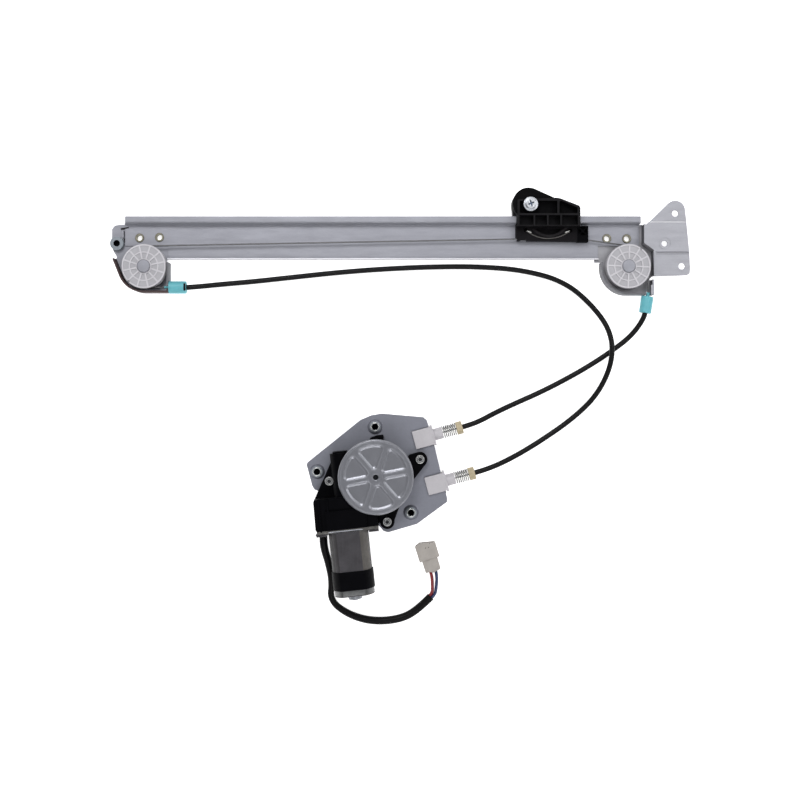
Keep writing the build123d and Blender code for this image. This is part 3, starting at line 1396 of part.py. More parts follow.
lead_end = lead_route[-1]
e = (Vector(*lead_route[-1]) - Vector(*lead_route[-2])).normalized()
side = Vector(-e.Y, e.X, 0)
red_start = (lead_end[0] + side.X * 1.45, lead_end[1] + side.Y * 1.45)
blue_start = (lead_end[0] - side.X * 1.45, lead_end[1] - side.Y * 1.45)
red_route = [
    (*red_start, 3.2),
    (red_start[0] + 4.0 * e.X, red_start[1] + 4.0 * e.Y, 3.2),
    (*loc(30.6, -176.5), 4.2),
    plug_point(-WIRE_X, PLUG_L + 5.0),
    plug_point(-WIRE_X, PLUG_L - 6.0),
]
blue_route = [
    (*blue_start, 3.2),
    (blue_start[0] + 4.5 * e.X, blue_start[1] + 4.5 * e.Y, 3.2),
    (*loc(34.3, -178.0), 4.0),
    plug_point(WIRE_X, PLUG_L + 4.0),
    plug_point(WIRE_X, PLUG_L - 6.0),
]
fr_turn = (tail_r[0] + 9.0 * fr_dir.X, tail_r[1] + 9.0 * fr_dir.Y, CABLE_Z)
conduit_a_route = [
    (seat_l[0] + FERRULE_L, seat_l[1], CABLE_Z),
    (seat_l[0] + FERRULE_L + 13.0, seat_l[1], CABLE_Z),
    (*loc(-165.0, 109.8), 5.0),
    (*loc(-136.0, 112.6), 2.6),
    (*loc(-99.7, 116.5), 2.6),
    (*loc(-57.6, 121.0), 2.6),
    (*loc(-15.1, 124.2), 2.6),
    (*loc(27.8, 126.1), 2.6),
    (*loc(71.5, 126.5), 2.6),
    (*loc(115.8, 123.4), 2.6),
    (*loc(156.5, 112.2), 2.6),
    (*loc(184.5, 86.5), 6.5),
    (*loc(198.9, 62.0), 12.8),
    (*loc(199.3, 34.5), 12.8),
    (*loc(186.5, 5.0), 6.5),
    (*loc(164.0, -17.5), 2.6),
    (*loc(133.0, -39.0), 2.6),
    (*loc(107.5, -54.0), 5.0),
    tuple(along(CAP_U1 + 14.0, -DRUM_GROOVE).origin),
    tuple(along(CAP_U1, -DRUM_GROOVE).origin),
]
conduit_b_route = [
    (tail_r[0], tail_r[1], CABLE_Z),
    fr_turn,
    (*loc(220.8, 60.6), 5.6),
    (*loc(203.5, 48.2), 2.6),
    (*loc(179.0, 32.0), 2.6),
    (*loc(153.0, 17.4), 2.6),
    (*loc(130.5, 6.2), 2.6),
    (*loc(110.0, -2.8), 2.6),
    (*loc(90.0, -12.0), 5.2),
    tuple(along(CAP_U1 + 13.0, DRUM_GROOVE).origin),
    tuple(along(CAP_U1, DRUM_GROOVE).origin),
]


def tube(route, d, name):
    radii = cord_radii(route)
    with BuildPart() as cord:
        with BuildLine() as path:
            FilletPolyline(*route, radius=radii)
        with BuildSketch(Plane(origin=path.line @ 0, z_dir=path.line % 0)):
            Circle(d / 2)
        sweep(path=path.line)
    runs = [round((Vector(*b) - Vector(*a)).length, 1) for a, b in zip(route, route[1:])]
    total = sum(edge.length for edge in path.edges())
    want = math.pi * d * d / 4 * total
    print(f"{name}: length {total:.1f}, volume {cord.part.volume:.0f} of {want:.0f}")
    print("   runs", runs)
    print("   radii", [round(r, 1) for r in radii])
    return cord.part


conduit_a = tube(conduit_a_route, CONDUIT_D, "conduit_a")
conduit_a.label = "conduit_a"
export_step(conduit_a, "parts/conduit_a.step")
conduit_b = tube(conduit_b_route, CONDUIT_D, "conduit_b")
conduit_b.label = "conduit_b"
export_step(conduit_b, "parts/conduit_b.step")
lead_sleeve = tube(lead_route, LEAD_D, "lead_sleeve")
lead_sleeve.label = "lead_sleeve"
export_step(lead_sleeve, "parts/lead_sleeve.step")
wire_red = tube(red_route, WIRE_D, "wire_red")
wire_red.label = "wire_red"
export_step(wire_red, "parts/wire_red.step")
wire_blue = tube(blue_route, WIRE_D, "wire_blue")
wire_blue.label = "wire_blue"
export_step(wire_blue, "parts/wire_blue.step")

HOOD_W, HOOD_T, HOOD_L = 19.6, 11.0, 14.8
MOUTH_S = 2.6  # reach of the hood past the mouth plane, before its slanted cut
with BuildPart() as connector_housing:
    with BuildSketch(plug.offset(-MOUTH_S)):
        Rectangle(HOOD_W, HOOD_T)
    extrude(amount=HOOD_L + MOUTH_S)
    with BuildSketch(plug.offset(HOOD_L)):
        Rectangle(14.8, 8.6)
    extrude(amount=PLUG_L - HOOD_L)
    with BuildSketch(plug.offset(-MOUTH_S)):
        Rectangle(HOOD_W - 2.4, HOOD_T - 2.4)
    extrude(amount=11.0 + MOUTH_S, mode=Mode.SUBTRACT)
    # slanted mouth with a keyed corner at its left
    with BuildSketch(Plane.XY.offset(-1)):
        with BuildLine():
            edge = [(-10.8, 0.2), (-4.6, -2.2), (10.8, 1.0), (10.8, -3.5), (-10.8, -3.5)]
            Polyline(*[plug_point(x, s)[:2] for x, s in edge], close=True)
        make_face()
    extrude(amount=14, mode=Mode.SUBTRACT)
    for x in (-WIRE_X, WIRE_X):
        with BuildSketch(plug.offset(PLUG_L - 6.0)):
            with Locations((x, 0)):
                Circle(1.3)
        extrude(amount=7, mode=Mode.SUBTRACT)
        with BuildSketch(plug.offset(10)):
            with Locations((x, 0)):
                Rectangle(0.8, 6.3)
        extrude(amount=PLUG_L - 16.2, mode=Mode.SUBTRACT)
connector_housing.part.label = "connector_housing"
export_step(connector_housing.part, "parts/connector_housing.step")

with BuildPart() as terminals:
    for x in (-WIRE_X, WIRE_X):
        with BuildSketch(plug.offset(2.5)):
            with Locations((x, 0)):
                Rectangle(0.7, 6.2)
        extrude(amount=PLUG_L - 8.8)
terminals.part.label = "terminals"
export_step(terminals.part, "parts/terminals.step")

print("motor axis foot", M0, "shaft", C)
print("drum feeds", [tuple(round(v, 2) for v in along(0, n).origin) for n in guide_rows])
print("mounts", NUT_LEFT, PLATE_NUTS, FLANGE_HOLES, SCREW)
print("mouth", plug.origin, "lead exit", lead_exit)
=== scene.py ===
import json
import math

import bmesh
import bpy
from mathutils import Matrix, Vector

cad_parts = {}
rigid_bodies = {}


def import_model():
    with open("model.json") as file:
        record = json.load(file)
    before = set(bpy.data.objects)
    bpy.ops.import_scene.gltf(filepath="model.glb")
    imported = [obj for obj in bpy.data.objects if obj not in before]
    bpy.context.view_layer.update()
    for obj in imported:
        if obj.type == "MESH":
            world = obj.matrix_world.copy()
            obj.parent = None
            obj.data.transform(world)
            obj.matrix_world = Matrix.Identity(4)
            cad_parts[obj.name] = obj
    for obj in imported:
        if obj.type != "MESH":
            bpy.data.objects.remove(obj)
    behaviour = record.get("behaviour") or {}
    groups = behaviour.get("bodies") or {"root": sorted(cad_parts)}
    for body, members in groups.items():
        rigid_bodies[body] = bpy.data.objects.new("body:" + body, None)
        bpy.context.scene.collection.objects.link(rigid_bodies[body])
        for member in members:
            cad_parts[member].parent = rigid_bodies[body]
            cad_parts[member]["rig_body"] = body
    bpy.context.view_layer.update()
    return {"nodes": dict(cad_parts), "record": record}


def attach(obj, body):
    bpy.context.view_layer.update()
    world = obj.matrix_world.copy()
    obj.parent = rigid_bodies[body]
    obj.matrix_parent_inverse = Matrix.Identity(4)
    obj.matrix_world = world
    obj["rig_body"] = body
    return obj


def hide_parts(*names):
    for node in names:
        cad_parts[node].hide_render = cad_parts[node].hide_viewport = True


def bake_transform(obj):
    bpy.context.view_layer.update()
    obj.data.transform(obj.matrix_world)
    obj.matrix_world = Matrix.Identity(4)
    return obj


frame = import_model()
NODES = frame["nodes"]

# ---------------------------------------------------------------- the same plan grid as the CAD
OX, OY = -0.883, 7.053
PLAN, EYE = 0.95, 1100.0


def at(u, v, z=0.0):
    k = PLAN * (1 - z / EYE)
    return ((u - 400) * k - OX, (400 - v) * k - OY)


def loc(x, y):
    return (x - OX, y - OY)


def metres(p):
    return tuple(c / 1000 for c in p)


PL, PR = loc(-240.4, 125.5), loc(214.6, 125.5)
C = loc(-22.14, -70.5)
TILT = math.radians(6.137)
A = Vector((math.sin(TILT), -math.cos(TILT), 0))
MOTOR_Z, CENTRES, S0 = 31.0, 30.8, -46.9
M0 = Vector((C[0] + CENTRES * A.y - A.x * S0, C[1] - CENTRES * A.x - A.y * S0, MOTOR_Z))
AWAY = Vector((A.y, -A.x, 0))
ga = math.radians(15.2)
GU, GN = Vector((math.cos(ga), math.sin(ga), 0)), Vector((-math.sin(ga), math.cos(ga), 0))


def guide(u, n, z=9.0):
    p = Vector((C[0], C[1], z)) + GU * u + GN * n
    return (p.x, p.y, p.z)


def motor(s, y, x):
    """Point at station s along the motor, y away from the output shaft, x above its axis."""
    p = M0 + A * s + AWAY * y + Vector((0, 0, x))
    return (p.x, p.y, p.z)


# ---------------------------------------------------------------- camera
cam_data = bpy.data.cameras.new("camera")
cam = bpy.data.objects.new("camera", cam_data)
bpy.context.scene.collection.objects.link(cam)
cam.location = (-OX / 1000, -OY / 1000, EYE / 1000)
cam.rotation_euler = (0, 0, 0)
cam_data.sensor_width = 36.0
cam_data.lens = 36.0 / (2 * (PLAN * 400) / EYE)
cam_data.clip_start, cam_data.clip_end = 0.05, 20
bpy.context.scene.camera = cam

# ---------------------------------------------------------------- free cords
FERRULE_L, PULLEY_GROOVE, CABLE_Z = 16.2, 19.5, 9.7
seat_l = (loc(-217.25, 0)[0], PL[1] - PULLEY_GROOVE)
tail_r, seat_r = loc(230.6, 81.9), loc(233.0, 97.3)
fd = (Vector((*tail_r, 0)) - Vector((*seat_r, 0))).normalized()
CAP_U, GROOVE = 89.8, 22.3

conduit_a_route = [
    (seat_l[0] + FERRULE_L, seat_l[1], CABLE_Z),
    (seat_l[0] + FERRULE_L + 9.0, seat_l[1] + 0.5, CABLE_Z),
    (*loc(-170.0, 109.2), 5.6),
    (*loc(-139.0, 112.2), 2.6),
    (*loc(-99.7, 116.5), 2.6),
    (*loc(-57.6, 121.0), 2.6),
    (*loc(-15.1, 124.2), 2.6),
    (*loc(27.8, 126.1), 2.6),
    (*loc(71.5, 126.5), 2.6),
    (*loc(115.8, 123.4), 2.6),
    (*loc(156.5, 112.2), 2.6),
    (*loc(184.5, 86.5), 6.5),
    (*loc(198.9, 62.0), 12.8),
    (*loc(199.3, 34.5), 12.8),
    (*loc(186.5, 5.0), 6.5),
    (*loc(164.0, -17.5), 2.6),
    (*loc(133.0, -39.0), 2.6),
    (*loc(107.5, -54.0), 5.0),
    guide(CAP_U + 14.0, -GROOVE),
    guide(CAP_U, -GROOVE),
]
conduit_b_route = [
    (tail_r[0], tail_r[1], CABLE_Z),
    (tail_r[0] + 5.0 * fd.x, tail_r[1] + 5.0 * fd.y, CABLE_Z),
    (*loc(219.0, 61.0), 6.0),
    (*loc(202.5, 47.6), 2.6),
    (*loc(179.0, 32.0), 2.6),
    (*loc(153.0, 17.4), 2.6),
    (*loc(130.5, 6.2), 2.6),
    (*loc(110.0, -2.8), 2.6),
    (*loc(90.0, -12.0), 5.2),
    guide(CAP_U + 13.0, GROOVE),
    guide(CAP_U, GROOVE),
]
lead_route = [
    motor(3.5, 24.0, 22.0 - MOTOR_Z),
    motor(12.0, 25.2, 22.0 - MOTOR_Z),
    (*loc(-66.8, -152.0), 16.0),
    (*loc(-63.9, -171.0), 9.0),
    (*loc(-66.2, -189.4), 4.4),
    (*loc(-50.0, -202.4), 3.9),
    (*loc(-28.0, -209.3), 3.9),
    (*loc(-3.0, -208.1), 3.9),
    (*loc(15.0, -200.4), 3.7),
    (*loc(29.0, -186.2), 3.7),
]
PLUG0 = Vector((*loc(23.5, -135.9), 5.5))
PLUG_DIR = Vector((0.30, -0.954, 0)).normalized()
PLUG_X = Vector((-PLUG_DIR.y, PLUG_DIR.x, 0))
PLUG_L, WIRE_X = 26.3, 2.6


def plug_point(x, s, z=5.5):
    p = PLUG0 + PLUG_X * x + PLUG_DIR * s
    return (p.x, p.y, z)


lead_end = Vector(lead_route[-1])
e = (lead_end - Vector(lead_route[-2])).normalized()
side = Vector((-e.y, e.x, 0))
rs, bs = lead_end + side * 1.45, lead_end - side * 1.45
red_route = [
    (rs.x, rs.y, 3.2),
    (rs.x + 4.0 * e.x, rs.y + 4.0 * e.y, 3.2),
    (*loc(30.6, -176.5), 4.2),
    plug_point(-WIRE_X, PLUG_L + 5.0),
    plug_point(-WIRE_X, PLUG_L - 6.0),
]
blue_route = [
    (bs.x, bs.y, 3.2),
    (bs.x + 4.5 * e.x, bs.y + 4.5 * e.y, 3.2),
    (*loc(34.3, -178.0), 4.0),
    plug_point(WIRE_X, PLUG_L + 4.0),
    plug_point(WIRE_X, PLUG_L - 6.0),
]


def cord_curve(name, route, diameter, node, widths=None):
    data = bpy.data.curves.new(name, "CURVE")
    data.dimensions = "3D"
    sp = data.splines.new("NURBS")
    sp.points.add(len(route) - 1)
    for p, q in zip(sp.points, route):
        p.co = (*metres(q), 1)
    for i, w in enumerate(widths or (1.0,) * len(route)):
        sp.points[i].radius = w * diameter / 2000
    sp.order_u = 3
    sp.use_endpoint_u = True
    sp.resolution_u = 10
    data.bevel_depth = 1.0
    data.bevel_resolution = 6
    data.use_fill_caps = True
    obj = bpy.data.objects.new(name, data)
    bpy.context.scene.collection.objects.link(obj)
    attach(obj, "frame")
    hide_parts(node)
    return obj


CORDS = {
    "conduit_a_sheath": cord_curve("conduit_a_sheath", conduit_a_route, 5.0, "conduit_a"),
    "conduit_b_sheath": cord_curve("conduit_b_sheath", conduit_b_route, 5.0, "conduit_b"),
    "lead_sleeve_tube": cord_curve(
        "lead_sleeve_tube", lead_route, 6.2, "lead_sleeve", (1.2, 1.2, 1.16, 1.0, 0.98, 1.1, 1.2, 1.22, 1.2, 1.24)
    ),
    "wire_red_lead": cord_curve("wire_red_lead", red_route, 2.4, "wire_red", (1.25,) * 5),
    "wire_blue_lead": cord_curve("wire_blue_lead", blue_route, 2.4, "wire_blue", (1.25,) * 5),
}


# ---------------------------------------------------------------- materials
def surface(
    name, base, rough=0.5, metal=0.0, mottle=0.12, scale=60.0, grain=1800.0, grain_amount=0.05, stretch=(1, 1, 1), bump=0.12,
    rough_var=0.08, specks=0.0, speck_scale=350.0, speck_colour=None, coat=0.0, sheen_lines=0.0, line_scale=900.0, line_axis="X",
    warm=0.0, spec=0.5, sss=0.0, glow=0.0,
):
    m = bpy.data.materials.new(name)
    m.use_nodes = True
    nt = m.node_tree
    nt.nodes.clear()
    N, L = nt.nodes.new, nt.links.new
    out = N("ShaderNodeOutputMaterial")
    b = N("ShaderNodeBsdfPrincipled")
    L(b.outputs[0], out.inputs[0])
    tc = N("ShaderNodeTexCoord")
    mp = N("ShaderNodeMapping")
    mp.inputs["Scale"].default_value = stretch
    L(tc.outputs["Object"], mp.inputs["Vector"])

    def noise(s, detail=4.0, r=0.55, vec=mp.outputs[0]):
        n = N("ShaderNodeTexNoise")
        n.inputs["Scale"].default_value = s
        n.inputs["Detail"].default_value = detail
        n.inputs["Roughness"].default_value = r
        L(vec, n.inputs["Vector"])
        return n.outputs[0]

    def span(value, a, c, lo, hi):
        r = N("ShaderNodeMapRange")
        r.inputs["From Min"].default_value = a
        r.inputs["From Max"].default_value = c
        r.inputs["To Min"].default_value = lo
        r.inputs["To Max"].default_value = hi
        L(value, r.inputs["Value"])
        return r.outputs[0]

    def mix(fac, ca, cb, kind="MIX"):
        x = N("ShaderNodeMix")
        x.data_type = "RGBA"
        x.blend_type = kind
        if isinstance(fac, float):
            x.inputs[0].default_value = fac
        else:
            L(fac, x.inputs[0])
        for sock, col in ((x.inputs[6], ca), (x.inputs[7], cb)):
            if isinstance(col, (tuple, list)):
                sock.default_value = (*col, 1)
            else:
                L(col, sock)
        return x.outputs[2]

    low, mid, fine = noise(scale), noise(scale * 5.3, 5.0, 0.62), noise(grain, 2.0, 0.5)
    dark = tuple(c * (1 - mottle) for c in base)
    light = tuple(min(1.0, c * (1 + mottle * 0.8) + warm * w) for c, w in zip(base, (0.02, 0.01, 0.0)))
    col = mix(span(low, 0.32, 0.68, 0.0, 1.0), dark, light)
    col = mix(span(mid, 0.35, 0.7, 0.0, mottle * 2.2), col, tuple(c * 0.82 for c in base))
    shade = N("ShaderNodeCombineColor")
    g = span(fine, 0.3, 0.7, 1 - grain_amount, 1 + grain_amount)
    for i in range(3):
        L(g, shade.inputs[i])
    col = mix(1.0, col, shade.outputs[0], "MULTIPLY")
    height = fine
    if sheen_lines:
        w = N("ShaderNodeTexNoise")
        lm = N("ShaderNodeMapping")
        lm.inputs["Scale"].default_value = {"X": (0.02, 1, 1), "Y": (1, 0.02, 1), "Z": (1, 1, 0.02)}[line_axis]
        L(tc.outputs["Object"], lm.inputs["Vector"])
        w.inputs["Scale"].default_value = line_scale
        w.inputs["Detail"].default_value = 3
        L(lm.outputs[0], w.inputs["Vector"])
        col = mix(span(w.outputs[0], 0.35, 0.65, 0.0, sheen_lines), col, tuple(min(1.0, c * 1.25) for c in base))
        add = N("ShaderNodeMath")
        add.operation = "ADD"
        L(fine, add.inputs[0])
        L(w.outputs[0], add.inputs[1])
        height = add.outputs[0]
    if specks:
        v = N("ShaderNodeTexVoronoi")
        v.inputs["Scale"].default_value = speck_scale
        L(tc.outputs["Object"], v.inputs["Vector"])
        gate = noise(scale * 2.1, 2.0, 0.5, tc.outputs["Object"])
        mult = N("ShaderNodeMath")
        mult.operation = "MULTIPLY"
        L(span(v.outputs["Distance"], 0.06, 0.14, specks, 0.0), mult.inputs[0])
        L(span(gate, 0.5, 0.6, 0.0, 1.0), mult.inputs[1])
        col = mix(mult.outputs[0], col, speck_colour or tuple(c * 0.55 for c in base))
    L(col, b.inputs["Base Color"])
    L(span(mid, 0.3, 0.7, max(0.05, rough - rough_var), min(1.0, rough + rough_var)), b.inputs["Roughness"])
    b.inputs["Metallic"].default_value = metal
    b.inputs["Specular IOR Level"].default_value = spec
    b.inputs["Coat Weight"].default_value = coat
    if sss:
        b.inputs["Subsurface Weight"].default_value = sss
        b.inputs["Subsurface Radius"].default_value = (0.002, 0.002, 0.002)
        b.inputs["Subsurface Scale"].default_value = 1.0
    if glow:
        b.inputs["Emission Color"].default_value = (1, 1, 1, 1)
        b.inputs["Emission Strength"].default_value = glow
    bp = N("ShaderNodeBump")
    bp.inputs["Strength"].default_value = bump
    bp.inputs["Distance"].default_value = 0.0002
    L(height, bp.inputs["Height"])
    L(bp.outputs[0], b.inputs["Normal"])
    return m


MATS = {
    "zinc_steel": surface(
        "zinc_steel", (0.28, 0.284, 0.318), 0.5, 0.6, mottle=0.05, scale=38, stretch=(0.25, 1, 1), sheen_lines=0.10, line_scale=700,
        specks=0.3, grain_amount=0.03, bump=0.08,
    ),
    "plate_steel": surface(
        "plate_steel", (0.198, 0.204, 0.238), 0.5, 0.6, mottle=0.07, scale=30, specks=0.25, grain_amount=0.04, bump=0.1, sheen_lines=0.08,
    ),
    "rivet_steel": surface("rivet_steel", (0.42, 0.42, 0.43), 0.34, 0.9, mottle=0.10, scale=220, bump=0.1),
    "cable_steel": surface("cable_steel", (0.15, 0.15, 0.155), 0.45, 0.8, mottle=0.15, scale=400, stretch=(0.3, 1, 1), sheen_lines=0.3, line_scale=1800),
    "spring_steel": surface("spring_steel", (0.50, 0.50, 0.51), 0.25, 1.0, mottle=0.08, scale=300, bump=0.05),
    "screw_steel": surface("screw_steel", (0.55, 0.57, 0.60), 0.3, 0.9, mottle=0.10, scale=260, bump=0.08),
    "shaft_steel": surface("shaft_steel", (0.4, 0.4, 0.42), 0.3, 0.95, mottle=0.1, scale=240, sheen_lines=0.2, line_axis="Y"),
    "bronze": surface("bronze", (0.46, 0.31, 0.13), 0.42, 0.9, mottle=0.16, scale=240, specks=0.5, speck_scale=1400),
    "copper": surface("copper", (0.5, 0.2, 0.08), 0.34, 0.85, mottle=0.2, scale=320, sheen_lines=0.4, line_scale=1500),
    "tin_plated": surface("tin_plated", (0.55, 0.55, 0.53), 0.3, 0.95, mottle=0.1, scale=300),
    "natural_acetal": surface("natural_acetal", (0.41, 0.405, 0.43), 0.42, 0.0, mottle=0.05, scale=90, grain_amount=0.03, sss=0.15, bump=0.06, spec=0.35),
    "grey_acetal": surface("grey_acetal", (0.47, 0.455, 0.478), 0.45, 0.0, mottle=0.05, scale=110, grain_amount=0.035, sss=0.2, bump=0.08, spec=0.35),
    "teal_nylon": surface("teal_nylon", (0.125, 0.43, 0.49), 0.4, 0.0, mottle=0.08, scale=120, grain_amount=0.03, sss=0.1, bump=0.06, spec=0.35),
    "beige_nylon": surface("beige_nylon", (0.43, 0.365, 0.24), 0.45, 0.0, mottle=0.1, scale=140, grain_amount=0.04, sss=0.06, bump=0.08, spec=0.35),
    "black_nylon": surface("black_nylon", (0.0035, 0.0033, 0.0042), 0.42, 0.0, mottle=0.3, scale=110, grain=2600, grain_amount=0.2, bump=0.3, spec=0.16),
    "grey_nylon": surface("grey_nylon", (0.02, 0.02, 0.022), 0.5, 0.0, mottle=0.25, scale=110, grain=2600, grain_amount=0.15, bump=0.3, spec=0.25),
    "black_conduit": surface("black_conduit", (0.004, 0.004, 0.0045), 0.38, 0.0, mottle=0.3, scale=70, grain=1500, grain_amount=0.15, bump=0.15, spec=0.14),
    "black_sleeve": surface("black_sleeve", (0.0028, 0.0026, 0.003), 0.42, 0.0, mottle=0.3, scale=90, grain=500, grain_amount=0.2, bump=0.5, spec=0.1),
    "can_steel": surface("can_steel", (0.057, 0.054, 0.060), 0.36, 0.5, mottle=0.24, scale=75, sheen_lines=0.25, line_axis="Y", grain_amount=0.08, specks=0.3),
    "cover_steel": surface("cover_steel", (0.225, 0.23, 0.254), 0.33, 0.75, mottle=0.04, scale=70, grain_amount=0.03, bump=0.03, rough_var=0.03),
    "offwhite_nylon": surface("offwhite_nylon", (0.36, 0.335, 0.31), 0.42, 0.0, mottle=0.07, scale=150, grain_amount=0.03, sss=0.1, bump=0.06, spec=0.35),
    "red_wire": surface("red_wire", (0.18, 0.005, 0.008), 0.4, 0.0, mottle=0.1, scale=200, grain_amount=0.06, bump=0.1),
    "blue_wire": surface("blue_wire", (0.006, 0.020, 0.080), 0.4, 0.0, mottle=0.1, scale=200, grain_amount=0.06, bump=0.1),
    "rubber": surface("rubber", (0.012, 0.012, 0.012), 0.7, 0.0, mottle=0.2, scale=150, grain_amount=0.15, bump=0.3, spec=0.2),
    "ferrite": surface("ferrite", (0.05, 0.05, 0.05), 0.6, 0.1, mottle=0.2, scale=200, grain_amount=0.2, bump=0.4),
    "carbon": surface("carbon", (0.03, 0.03, 0.032), 0.5, 0.3, mottle=0.2, scale=200, grain_amount=0.2, bump=0.3),
    "lamination": surface("lamination", (0.3, 0.3, 0.31), 0.45, 0.8, mottle=0.15, scale=200, sheen_lines=0.4, line_scale=2200, line_axis="X"),
}
# shades that single faces of a piece take. Most are painted light and shade: darker copies of a material for folded
# walls, bores, recesses and faces turned from the light, and lighter copies for edges, bends, rims and tops that catch
# it. The rest are own colours, such as the plain end of the can.
# painted shade: a darker, duller copy of the zinc for the upright walls of the rail and brackets and for some wall tops
WALL_SHADE = surface("zinc_wall_painted_shade", (0.15, 0.15, 0.165), 0.62, 0.45, mottle=0.10, scale=60, grain_amount=0.05, bump=0.1, spec=0.3, specks=0.3)
# painted shadow: a dark brownish zinc for the faces and top of the left bracket's guard wall beside the pulley
GUARD_SHADOW = surface("zinc_guard_painted_shadow", (0.075, 0.050, 0.050), 0.65, 0.3, mottle=0.22, scale=70, grain_amount=0.08, bump=0.15, spec=0.2)
# painted shadow: near-black for the insides of bores, the shaft end seen down the cover's hole and the ferrule's mouth
HOLE_SHADOW = surface("hole_painted_shadow", (0.006, 0.007, 0.009), 0.6, 0.0, mottle=0.2, scale=200, grain_amount=0.1, bump=0.1, spec=0.1)
# painted shade: a darker bluish steel for the cross recess in the clamp screw's head
CROSS_SLOT_SHADE = surface("cross_slot_painted_shade", (0.10, 0.13, 0.19), 0.4, 0.6, mottle=0.15, scale=300, grain_amount=0.08, bump=0.1)
BARE = surface("bare_zinc", (0.30, 0.31, 0.34), 0.42, 0.7, mottle=0.12, scale=90, grain_amount=0.06, bump=0.12, specks=0.3)
# painted highlight: a pale zinc for the top edge of the rail's lower flange
FLANGE_TOP_HIGHLIGHT = surface("zinc_edge_painted_highlight", (0.66, 0.66, 0.70), 0.42, 0.5, mottle=0.06, scale=60, grain_amount=0.04, bump=0.06, stretch=(0.2, 1, 1))
# painted light: a lighter, duller copy of the zinc for the floor and faces inside the guard walls, lifting the shade
# there
INNER_LIGHT = surface("zinc_inner_painted_light", (0.34, 0.338, 0.36), 0.6, 0.2, mottle=0.10, scale=60, grain_amount=0.05, bump=0.1, spec=0.3, specks=0.3)
# painted highlight: a lighter copy of the grey acetal for the top faces of the pulleys' ribs, rim and hub
RIB_HIGHLIGHT = surface("acetal_rib_painted_highlight", (0.56, 0.55, 0.58), 0.42, 0.0, mottle=0.04, scale=110, grain_amount=0.03, sss=0.2, bump=0.06, spec=0.35)
CASE = surface("black_case", (0.0014, 0.0014, 0.0022), 0.5, 0.0, mottle=0.35, scale=90, grain=2600, grain_amount=0.2, bump=0.3, spec=0.03)
SHOE = surface("black_shoe", (0.0075, 0.0068, 0.0080), 0.5, 0.0, mottle=0.3, scale=110, grain=2600, grain_amount=0.2, bump=0.3, spec=0.05)
LOBE = surface("black_lobe", (0.0150, 0.0142, 0.0160), 0.48, 0.0, mottle=0.25, scale=110, grain=2600, grain_amount=0.2, bump=0.3, spec=0.13)
PLATED = surface("flange_edge", (0.085, 0.082, 0.078), 0.46, 0.6, mottle=0.35, scale=160, grain_amount=0.1, bump=0.2, specks=0.4)
ENDS = surface("can_end", (0.105, 0.107, 0.108), 0.36, 0.7, mottle=0.45, scale=120, grain_amount=0.08, bump=0.2, sheen_lines=0.3, line_axis="X")
CARR = surface("black_carrier", (0.0110, 0.0105, 0.0118), 0.5, 0.0, mottle=0.3, scale=110, grain=2600, grain_amount=0.2, bump=0.3, spec=0.06)
FACE = surface("zinc_flange", (0.335, 0.337, 0.368), 0.5, 0.6, mottle=0.05, scale=38, stretch=(0.25, 1, 1), sheen_lines=0.10, line_scale=700, specks=0.3, grain_amount=0.03, bump=0.08)
# painted highlight: a pale zinc for the bar along the end flange's upper bend
BEND_HIGHLIGHT = surface("zinc_bend_painted_highlight", (0.52, 0.52, 0.55), 0.45, 0.5, mottle=0.06, scale=60, grain_amount=0.04, bump=0.06)
# painted shade: a dark steel for the sockets in the housing screws' heads and the dots for small holes on the plug's
# hood
SMALL_HOLE_SHADE = surface("small_hole_painted_shade", (0.045, 0.046, 0.05), 0.5, 0.5, mottle=0.2, scale=300, grain_amount=0.1, bump=0.1, spec=0.2)
RIBBED = surface("black_tongue", (0.0150, 0.0135, 0.0150), 0.5, 0.0, mottle=0.3, scale=110, grain=2600, grain_amount=0.2, bump=0.3, spec=0.08)
# painted shade: darker blacks for the faces inside the carrier's pockets, one row darker than the other
LOW_POCKET_SHADE = surface("black_low_pocket_painted_shade", (0.0082, 0.0080, 0.0090), 0.55, 0.0, mottle=0.3, scale=110, grain=2600, grain_amount=0.2, bump=0.2, spec=0.04)
POCKET_SHADE = surface("black_pocket_painted_shade", (0.0048, 0.0048, 0.0053), 0.6, 0.0, mottle=0.3, scale=110, grain=2600, grain_amount=0.2, bump=0.2, spec=0.02)
# painted shade: a mid-grey, duller zinc for the upright wall under the rail's lip, lighter than the other walls
LIP_WALL_SHADE = surface("zinc_lip_wall_painted_shade", (0.40, 0.405, 0.45), 0.6, 0.3, mottle=0.08, scale=60, grain_amount=0.05, bump=0.1, spec=0.3)
# painted shade: a darker zinc for the thin bars along the end flange's lower bend
BEND_SHADE = surface("zinc_bend_painted_shade", (0.22, 0.22, 0.245), 0.6, 0.4, mottle=0.1, scale=80, grain_amount=0.05, bump=0.1, spec=0.3)
NUT = surface("nut_zinc", (0.235, 0.262, 0.288), 0.5, 0.4, mottle=0.10, scale=200, grain_amount=0.06, bump=0.1, spec=0.3)
# painted shade: a near-black steel for the turned-away sides of the springs' wire and the groove round the housing
# screws' heads
STEEL_SHADE = surface("steel_painted_shade", (0.035, 0.038, 0.036), 0.5, 0.5, mottle=0.2, scale=300, grain_amount=0.1, bump=0.05, spec=0.3)
BOWED = surface("bow_steel", (0.11, 0.105, 0.10), 0.4, 0.6, mottle=0.2, scale=200, grain_amount=0.1, bump=0.05, spec=0.3)
HEAD = surface("ear_screw_steel", (0.34, 0.345, 0.35), 0.4, 0.7, mottle=0.14, scale=260, grain_amount=0.08, bump=0.08)
